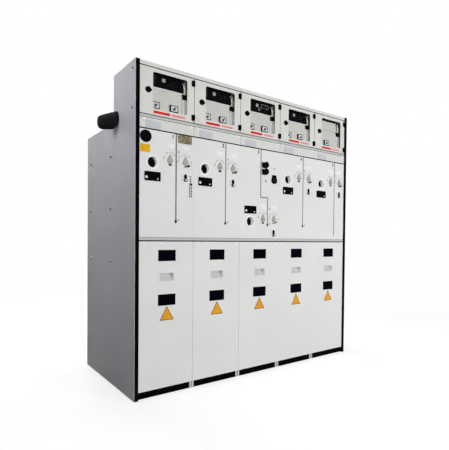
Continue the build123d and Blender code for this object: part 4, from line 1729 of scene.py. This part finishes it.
@dataclass
class LowVoltageBay:
    """Instruments behind one door: relay, switches, terminals, trunking and leads.

    Across and rise hold the offset from the middle of the bay or the height above the floor, and
    the size there.

    Attributes:
        bay: The bay.
        made: Pieces by finish, to be joined across the bays.
    """

    bay: Bay
    made: dict[Finish, list[Piece]] = field(default_factory=dict)
    relay_across: Pair = (14.0, 190.0)
    relay_rise: Pair = (1667.0, 72.0)
    relay_rim: float = 5.0
    relay_recess: float = 2.5
    display_across: Pair = (-14.5, 20.0)
    display_rise: Pair = (1672.5, 19.0)
    lamp_shift: Pair = (-78.0, 22.0)
    lamp_profile: Profile = ((0.0, 1.6), (0.5, 1.6), (1.1, 0.9))
    lamp_pitch: float = 8.0
    dial_place: Pair = (2.0, 1651.0)
    dial_size: Pair = (8.0, 1.6)
    bar_across: Pair = (50.0, 56.0)
    bar_rise: Pair = (1684.0, 1.8)
    bar_drop: float = 21.0
    end_across: Pair = (21.0, 1.8)
    end_rise: Pair = (1673.5, 20.0)
    end_gap: float = 58.0
    key_across: Pair = (28.0, 9.0)
    key_rise: Pair = (1675.0, 7.0)
    key_pitch: Pair = (12.0, 11.0)
    lip_rise: Pair = (1627.0, 6.0)
    switch_offsets: Pair = (-61.0, 49.5)
    spare_switch_offset: float = -6.0
    switch_size: Pair = (49.0, 37.0)
    switch_level: float = 1534.5
    switch_rim: Pair = (10.0, 9.0)
    handle_drop: float = 2.0
    hub_profile: Profile = ((0.0, 8.0), (1.2, 8.0), (1.8, 7.0), (1.8, 4.0))
    handle_size: Pair = (5.0, 19.0)
    handle_lean: float = -45.0
    terminal_across: Pair = (114.8, 26.0)
    terminal_rise: Pair = (1611.5, 25.0)
    rib_across: Pair = (105.8, 1.6)
    rib_rise: Pair = (1611.5, 22.0)
    rib_pitch: float = 6.0
    trunking_rise: Pair = (1537.75, 119.5)
    joint_across: Pair = (120.3, 2.4)
    cover_across: Pair = (130.0, 17.0)
    lid_across: Pair = (111.7, 14.4)
    # Black band of painted shade at the top and right of the empty relay place.
    rail_rise: Pair = (1696.75, 13.5)
    rail_end_across: Pair = (103.5, 11.0)
    rail_end_rise: Pair = (1684.5, 13.0)
    groove_across: Pair = (0.0, 216.0)
    groove_rise: Pair = (1626.2, 1.3)
    lead_top: float = 1623.0
    lead_radius: float = 1.7
    lead_routes: tuple[tuple[Finish, float, float, float], ...] = (
        (Finishes.LEAD_WHITE, -7.0, 66.0, 4.0), (Finishes.LEAD_WHITE, -2.5, 60.0, -6.0),
        (Finishes.LEAD_GREEN, 2.5, 54.0, 7.0),
    )

    def keep(self, finish: Finish, *pieces: Piece) -> None:
        """Puts pieces with those of the same finish."""
        self.made.setdefault(finish, []).extend(pieces)

    def box(self, name: str, across: Pair, depth: Pair, rise: Pair, edge: float) -> Piece:
        """Makes a plate of the bay.

        Args:
            name: Name of the piece.
            across: Offset from the middle of the bay, and width.
            depth: Front and back.
            rise: Height above the floor, and size there.
            edge: Radius of its edges.

        Returns:
            The plate.
        """
        return Bench.plate(name, self.bay.across(*across), depth, span(*rise), edge)

    def build(self) -> dict[Finish, list[Piece]]:
        """Makes the instruments of the bay.

        Returns:
            Pieces by finish.
        """
        low, high = corners("lv_instruments")
        front, back = low.y, high.y
        if self.bay.number == SPARE_RELAY_BAY:
            self.spare(front, back)
            self.switch(self.spare_switch_offset, front, back)
        else:
            self.relay(front, back)
            for offset in self.switch_offsets:
                self.switch(offset, front, back)
        self.terminals(front, back)
        self.trunking(back)
        self.leads(front)
        return self.made

    def relay(self, front: float, back: float) -> None:
        """Protection relay: housing, recessed face, display, lamps and keys."""
        housing = self.box("housing", self.relay_across, (front, back), self.relay_rise, edge=1.4)
        self.keep(Finishes.RELAY_BLACK, Bench.sink(housing, self.relay_rim, self.relay_recess))
        face = front + self.relay_recess
        depth = (face - 1.2, face + 0.3)
        display = self.box("display", self.display_across, depth, self.display_rise, edge=0.4)
        self.keep(Finishes.DISPLAY, display)
        across, up = self.lamp_shift
        place = self.bay.at(self.relay_across[0] + across, self.relay_rise[0] + up, face)
        lamps = Bench.turned("lamps", place, self.lamp_profile, sides=10)
        Bench.repeat(lamps, [(0.0, 0.0, -self.lamp_pitch * row) for row in range(1, 6)])
        self.keep(Finishes.DIAL_GREY, lamps)
        if self.bay.has_breaker:
            depth = (face - 0.9, face + 0.2)
            ring = Bench.ring("ring", self.bay.at(*self.dial_place, face - 1.2), *self.dial_size)
            bars = self.box("bars", self.bar_across, depth, self.bar_rise, edge=0.3)
            Bench.repeat(bars, [(0.0, 0.0, -self.bar_drop)])
            ends = self.box("ends", self.end_across, depth, self.end_rise, edge=0.3)
            Bench.repeat(ends, [(self.end_gap, 0.0, 0.0)])
            self.keep(Finishes.DISPLAY, ring, bars, ends)
        else:
            depth = (face - 1.4, face + 0.2)
            keys = self.box("keys", self.key_across, depth, self.key_rise, edge=0.9)
            step, drop = self.key_pitch
            moves = [(step * column, 0.0, -drop * row) for row in range(3) for column in range(4)]
            Bench.repeat(keys, moves[1:])
            self.keep(Finishes.KEY_GREY, keys)
        lip = self.box("lip", self.relay_across, (back - 3.0, back + 0.3), self.lip_rise, edge=0.6)
        self.keep(Finishes.WHITE_PLATE, lip)

    def switch(self, offset: float, front: float, back: float) -> None:
        """Square rotary switch: dark frame, pale face and handle."""
        width, height = self.switch_size
        level = self.switch_level
        surround = self.box("frame", (offset, width), (front, back), (level, height), edge=1.2)
        self.keep(Finishes.RELAY_BLACK, surround)
        face = self.box(
            "face", (offset, width - self.switch_rim[0]), (front - 1.0, front + 0.5),
            (level, height - self.switch_rim[1]), edge=0.6,
        )
        self.keep(Finishes.SWITCH_FACE, face)
        level -= self.handle_drop
        seat = self.bay.at(offset, level, front - 1.0)
        hub = Bench.turned("hub", seat, self.hub_profile, sides=24)
        width, height = self.handle_size
        handle = self.box(
            "handle", (offset, width), (front - 9.0, front - 1.0), (level, height), edge=1.5
        )
        self.keep(Finishes.SWITCH_GREY, hub, Bench.lean(handle, seat, self.handle_lean))

    def terminals(self, front: float, back: float) -> None:
        """Terminal block with its ribs."""
        block = self.box(
            "block", self.terminal_across, (front, back), self.terminal_rise, edge=0.8
        )
        ribs = self.box(
            "rib", self.rib_across, (front - 1.6, front + 0.2), self.rib_rise, edge=0.4
        )
        Bench.repeat(ribs, [(self.rib_pitch * step, 0.0, 0.0) for step in range(1, 4)])
        self.keep(Finishes.RELAY_BLACK, block, ribs)

    def trunking(self, back: float) -> None:
        """Pale trunking below the terminals, with the dark joint at its left and its lid; the cover
        and lid glow as painted light in the door's shadow.
        """
        rise, near = self.trunking_rise, (back - 1.0, back)
        self.keep(Finishes.KEY_GREY, self.box("joint", self.joint_across, near, rise, edge=0.2))
        cover = self.box("cover", self.cover_across, (back - 5.0, back), rise, edge=0.8)
        lid = self.box("lid", self.lid_across, near, rise, edge=0.3)
        self.keep(Finishes.TRUNKING_WHITE, cover, lid)

    def spare(self, front: float, back: float) -> None:
        """Empty place of a relay: a black band above it and down its right end, painted shade for
        the dark inside of the box there, and the groove below it.
        """
        depth = (front, back)
        rail = self.box("rail", self.relay_across, depth, self.rail_rise, edge=0.8)
        end = self.box("rail_end", self.rail_end_across, depth, self.rail_end_rise, edge=0.8)
        self.keep(Finishes.RELAY_BLACK, rail, end)
        groove = self.box(
            "groove", self.groove_across, (back - 0.3, back), self.groove_rise, edge=0.1
        )
        self.keep(Finishes.KEY_GREY, groove)

    def leads(self, front: float) -> None:
        """Short leads from the relay's side to the terminals, in finishes that glow as painted
        light in the box's shade.
        """
        middle = self.bay.middle + self.terminal_across[0]
        for finish, across, rise, bow in self.lead_routes:
            x, z = middle + across, self.lead_top
            points = (
                (x, front + 4.0, z - 4.0), (x, front - 1.0, z + 8.0),
                (x + bow, front - 3.0, z + rise * 0.5), (x - 4.0, front + 2.0, z + rise * 0.85),
                (x - 12.0, front + 6.0, z + rise),
            )
            self.keep(finish, Bench.wire("lead", points, self.lead_radius))


class LowVoltageBox:
    """All instruments of the upper box, one piece for each finish."""

    NAMES: dict[Finish, str] = {
        Finishes.RELAY_BLACK: "instrument_housings",
        Finishes.DISPLAY: "relay_displays",
        Finishes.DIAL_GREY: "relay_lamps",
        Finishes.KEY_GREY: "relay_keys",
        Finishes.WHITE_PLATE: "relay_lips",
        Finishes.SWITCH_FACE: "switch_faces",
        Finishes.SWITCH_GREY: "switch_handles",
        Finishes.LEAD_WHITE: "white_leads",
        Finishes.LEAD_GREEN: "earth_leads",
        Finishes.TRUNKING_WHITE: "wiring_trunking",
    }

    def build(self) -> None:
        """Builds the instruments of every bay and joins them by finish."""
        gathered: dict[Finish, list[Piece]] = {}
        for bay in BAYS:
            for finish, pieces in LowVoltageBay(bay).build().items():
                gathered.setdefault(finish, []).extend(pieces)
        for finish, pieces in gathered.items():
            replaces = ("lv_instruments",) if finish is Finishes.RELAY_BLACK else ()
            fit_set(self.NAMES[finish], pieces, finish, replaces=replaces)


@dataclass
class Doors:
    """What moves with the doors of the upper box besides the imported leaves."""

    stripe_level: float = 1490.0
    stripes: tuple[tuple[float, float, float, Finish], ...] = (
        (-84.0, 12.0, 14.0, Finishes.RED_STRIPE), (22.0, 104.0, 10.0, Finishes.PALE_RED_STRIPE),
    )
    stripe_proud: float = 0.35
    lock_place: Pair = (-114.5, 1597.0)
    lock_proud: float = 6.0
    lock_profile: Profile = ((0.0, 9.5), (0.8, 9.5), (1.4, 8.6), (1.4, 5.2), (0.2, 4.6))
    bead: float = 1.1
    bead_depth: Pair = (0.3, 2.0)
    bead_inset: float = 3.0

    def build(self, bay: Bay) -> None:
        """Fits the stripes, the edge beads and the lock's insert of one door.

        Args:
            bay: The bay.
        """
        body = f"lv_door_{bay.number}"
        low, high = corners(body)
        for part, (start, end, height, finish) in enumerate(self.stripes, 1):
            stripe = Bench.plate(
                f"door_stripe_{bay.number}_{part}", (bay.middle + start, bay.middle + end),
                (low.y - self.stripe_proud, low.y), span(self.stripe_level, height), edge=0.15,
            )
            fit(stripe, finish, body=body)
        edges = [(high.x, high.x + self.bead)] if bay.number < BAY_COUNT else []
        edges += [(low.x - self.bead, low.x)] if bay.number > 1 else []
        depth = tuple(low.y + share for share in self.bead_depth)
        levels = (low.z + self.bead_inset, high.z - self.bead_inset)
        beads = [Bench.plate("bead", edge, depth, levels, edge=0.2) for edge in edges]
        fit_set(f"door_beads_{bay.number}", beads, Finishes.DOOR_PAINT, body=body)
        seat = bay.at(*self.lock_place, PANEL_FACE - self.lock_proud)
        insert = Bench.turned(f"door_lock_{bay.number}", seat, self.lock_profile)
        fit(insert, Finishes.BLACK_PLASTIC, body=body)


class LampKind(Enum):
    """Kinds of studio lamp."""

    SOFTBOX = "AREA"
    SPOT = "SPOT"


@dataclass(frozen=True)
class Lamp:
    """One studio lamp, in metres and watts."""

    name: str
    kind: LampKind
    place: Triple
    aim: Triple
    power: float
    size: float
    colour: Triple = (1.0, 1.0, 1.0)
    cone: float = 60.0
    glossy: bool = True

    def hang(self) -> None:
        """Adds the lamp, turned to its aim and out of the camera's sight."""
        light = bpy.data.lights.new(self.name, self.kind.value)
        light.energy = self.power
        light.color = self.colour
        if self.kind is LampKind.SOFTBOX:
            light.shape = "SQUARE"
            light.size = self.size
        else:
            light.spot_size = math.radians(self.cone)
            light.spot_blend = 1.0
            light.shadow_soft_size = self.size
        lamp = bpy.data.objects.new(self.name, light)
        bpy.context.scene.collection.objects.link(lamp)
        lamp.location = self.place
        direction = Vector(self.aim) - Vector(self.place)
        lamp.rotation_euler = direction.to_track_quat("-Z", "Y").to_euler()
        lamp.visible_camera = False
        lamp.visible_glossy = self.glossy


@dataclass(frozen=True)
class Studio:
    """Pale studio: floor, background, lamps and the camera at the photograph's viewpoint."""

    lamps: tuple[Lamp, ...] = (
        Lamp(
            "key", LampKind.SOFTBOX, (2.3, -5.6, 0.86), (0.6, -0.4, 0.6), 210.0, 1.6, glossy=False
        ),
        Lamp(
            "near_key", LampKind.SOFTBOX, (-1.0, -5.6, 1.6), (-0.2, -0.4, 0.85), 121.0, 2.2,
            glossy=False,
        ),
        Lamp(
            "left_spot", LampKind.SPOT, (-4.2, -0.5, 3.0), (-0.83, -0.12, 2.5), 580.0, 1.6,
            colour=(0.98, 0.97, 1.0), cone=64.0,
        ),
        Lamp("right_spot", LampKind.SPOT, (4.4, 0.2, 2.1), (0.83, 0.0, 1.5), 175.0, 0.5, cone=70.0),
        Lamp("rear_fill", LampKind.SOFTBOX, (-0.2, 5.0, 3.2), (0.0, 0.4, 0.9), 170.0, 2.4),
        Lamp("top_fill", LampKind.SOFTBOX, (0.0, 0.6, 4.2), (0.0, 0.1, 1.6), 45.0, 2.0),
    )
    ambient: float = 0.085
    ambient_colour: Triple = (0.96, 0.97, 1.0)
    floor_size: float = 60.0
    floor_drop: float = 0.0004
    floor_bounce: float = 0.04
    floor_tone: float = 0.45
    floor_glow: float = 0.72
    fade: Pair = (1.6, 4.0)
    lens: float = 32.336
    sensor: float = 36.0
    shift: Pair = (-0.0005, 0.0481)
    sight: Pair = (0.05, 100.0)
    eye: Triple = (-1663.2, -2289.28, 833.35)
    yaw: float = 35.90
    pitch: float = -1.047
    roll: float = 0.523

    def build(self) -> None:
        """Makes the whole studio."""
        self.light_world()
        self.lay_floor()
        for lamp in self.lamps:
            lamp.hang()
        self.place_camera()
        bpy.context.scene.view_settings.view_transform = "Standard"

    @staticmethod
    def add_mask(graph: Graph) -> None:
        """Adds the node seen, which is 1 for camera, glossy and transmission rays."""
        graph.add("rays", "LightPath")
        graph.add("either", "Math", operation="MAXIMUM")
        graph.add("seen", "Math", operation="MAXIMUM")
        graph.link(
            "rays.Is Camera Ray > either.0", "rays.Is Glossy Ray > either.1", "either.0 > seen.0",
            "rays.Is Transmission Ray > seen.1",
        )

    def light_world(self) -> None:
        """White where it is seen, and a low even light elsewhere."""
        world = bpy.data.worlds.new("studio")
        bpy.context.scene.world = world
        world.use_nodes = True
        nodes = {node.type: node for node in world.node_tree.nodes}
        graph = Graph(world.node_tree, output=nodes["OUTPUT_WORLD"], lit=nodes["BACKGROUND"])
        graph.fill("lit", {"Color": (*self.ambient_colour, 1.0), "Strength": self.ambient})
        graph.add("white", "Background", {"Color": (1.0, 1.0, 1.0, 1.0), "Strength": 1.0})
        graph.add("mix", "MixShader")
        self.add_mask(graph)
        graph.link("seen.0 > mix.0", "lit.0 > mix.1", "white.0 > mix.2", "mix.0 > output.Surface")

    def lay_floor(self) -> None:
        """Plain pale floor that keeps the unit's shadow and fades to white away from it."""
        Bench.clear()
        bpy.ops.mesh.primitive_plane_add(size=self.floor_size, location=(0, 0, -self.floor_drop))
        floor = bpy.context.object
        floor.name = "floor"
        paint = bpy.data.materials.new("floor_paint")
        paint.use_nodes = True
        nodes = {node.type: node for node in paint.node_tree.nodes}
        paint.node_tree.nodes.remove(nodes["BSDF_PRINCIPLED"])
        graph = Graph(paint.node_tree, output=nodes["OUTPUT_MATERIAL"])
        graph.add("bounce", "BsdfDiffuse", {"Color": (*[self.floor_bounce] * 3, 1.0)})
        graph.add("matt", "BsdfDiffuse", {"Color": (*[self.floor_tone] * 3, 1.0)})
        graph.add("glow", "Emission", {"Strength": self.floor_glow})
        graph.add("near", "AddShader")
        graph.add("far", "Emission")
        graph.add("place", "TexCoord")
        graph.add("reach", "VectorMath", operation="LENGTH")
        ends = dict(zip(("From Min", "From Max"), self.fade))
        graph.add("fade", "MapRange", ends, **Graph.SMOOTH)
        graph.add("shown", "MixShader")
        graph.add("final", "MixShader")
        self.add_mask(graph)
        graph.link(
            "place.Object > reach.0", "reach.Value > fade.Value", "matt.0 > near.0",
            "glow.0 > near.1", "fade.Result > shown.0", "near.0 > shown.1", "far.0 > shown.2",
            "seen.0 > final.0", "bounce.0 > final.1", "shown.0 > final.2",
            "final.0 > output.Surface",
        )
        floor.data.materials.append(paint)

    def place_camera(self) -> None:
        """Sets the camera at the photograph's viewpoint."""
        yaw, pitch, roll = (math.radians(v) for v in (self.yaw, self.pitch, self.roll))
        ahead = Vector(
            (math.sin(yaw) * math.cos(pitch), math.cos(yaw) * math.cos(pitch), math.sin(pitch))
        )
        right = Vector((math.cos(yaw), -math.sin(yaw), 0.0))
        up = right.cross(ahead)
        level_right = math.cos(roll) * right + math.sin(roll) * up
        level_up = -math.sin(roll) * right + math.cos(roll) * up
        bpy.ops.object.camera_add()
        camera = bpy.context.object
        camera.name = "viewpoint"
        turn = Matrix((level_right, level_up, -ahead)).transposed().to_4x4()
        camera.matrix_world = Matrix.Translation(metres(*self.eye)) @ turn
        camera.data.lens = self.lens
        camera.data.sensor_width = self.sensor
        camera.data.shift_x, camera.data.shift_y = self.shift
        camera.data.clip_start, camera.data.clip_end = self.sight
        bpy.context.scene.camera = camera


def build_front() -> None:
    """Fits everything on the front, bay by bay."""
    for bay in BAYS:
        MimicDiagram().build(bay)
        ShaftStations().build(bay)
        SightWell().build(bay)
        VoltageIndicator().build(bay)
        LockMarks().build(bay)
        Doors().build(bay)
    BreakerControls().build(BAYS[BREAKER_BAY - 1])
    FirstBayExtras().build(FIRST_BAY)
    KeyLock().build_all()
    CableCovers().build()
    DuctStrip().build()
    Gaskets().build()


def main() -> None:
    """Builds the whole scene."""
    logging.basicConfig(level=logging.INFO, format="%(message)s")
    PackedNodes().dress()
    build_front()
    BodyScrews().build()
    LowVoltageBox().build()
    Studio().build()


if __name__ == "__main__":
    main()
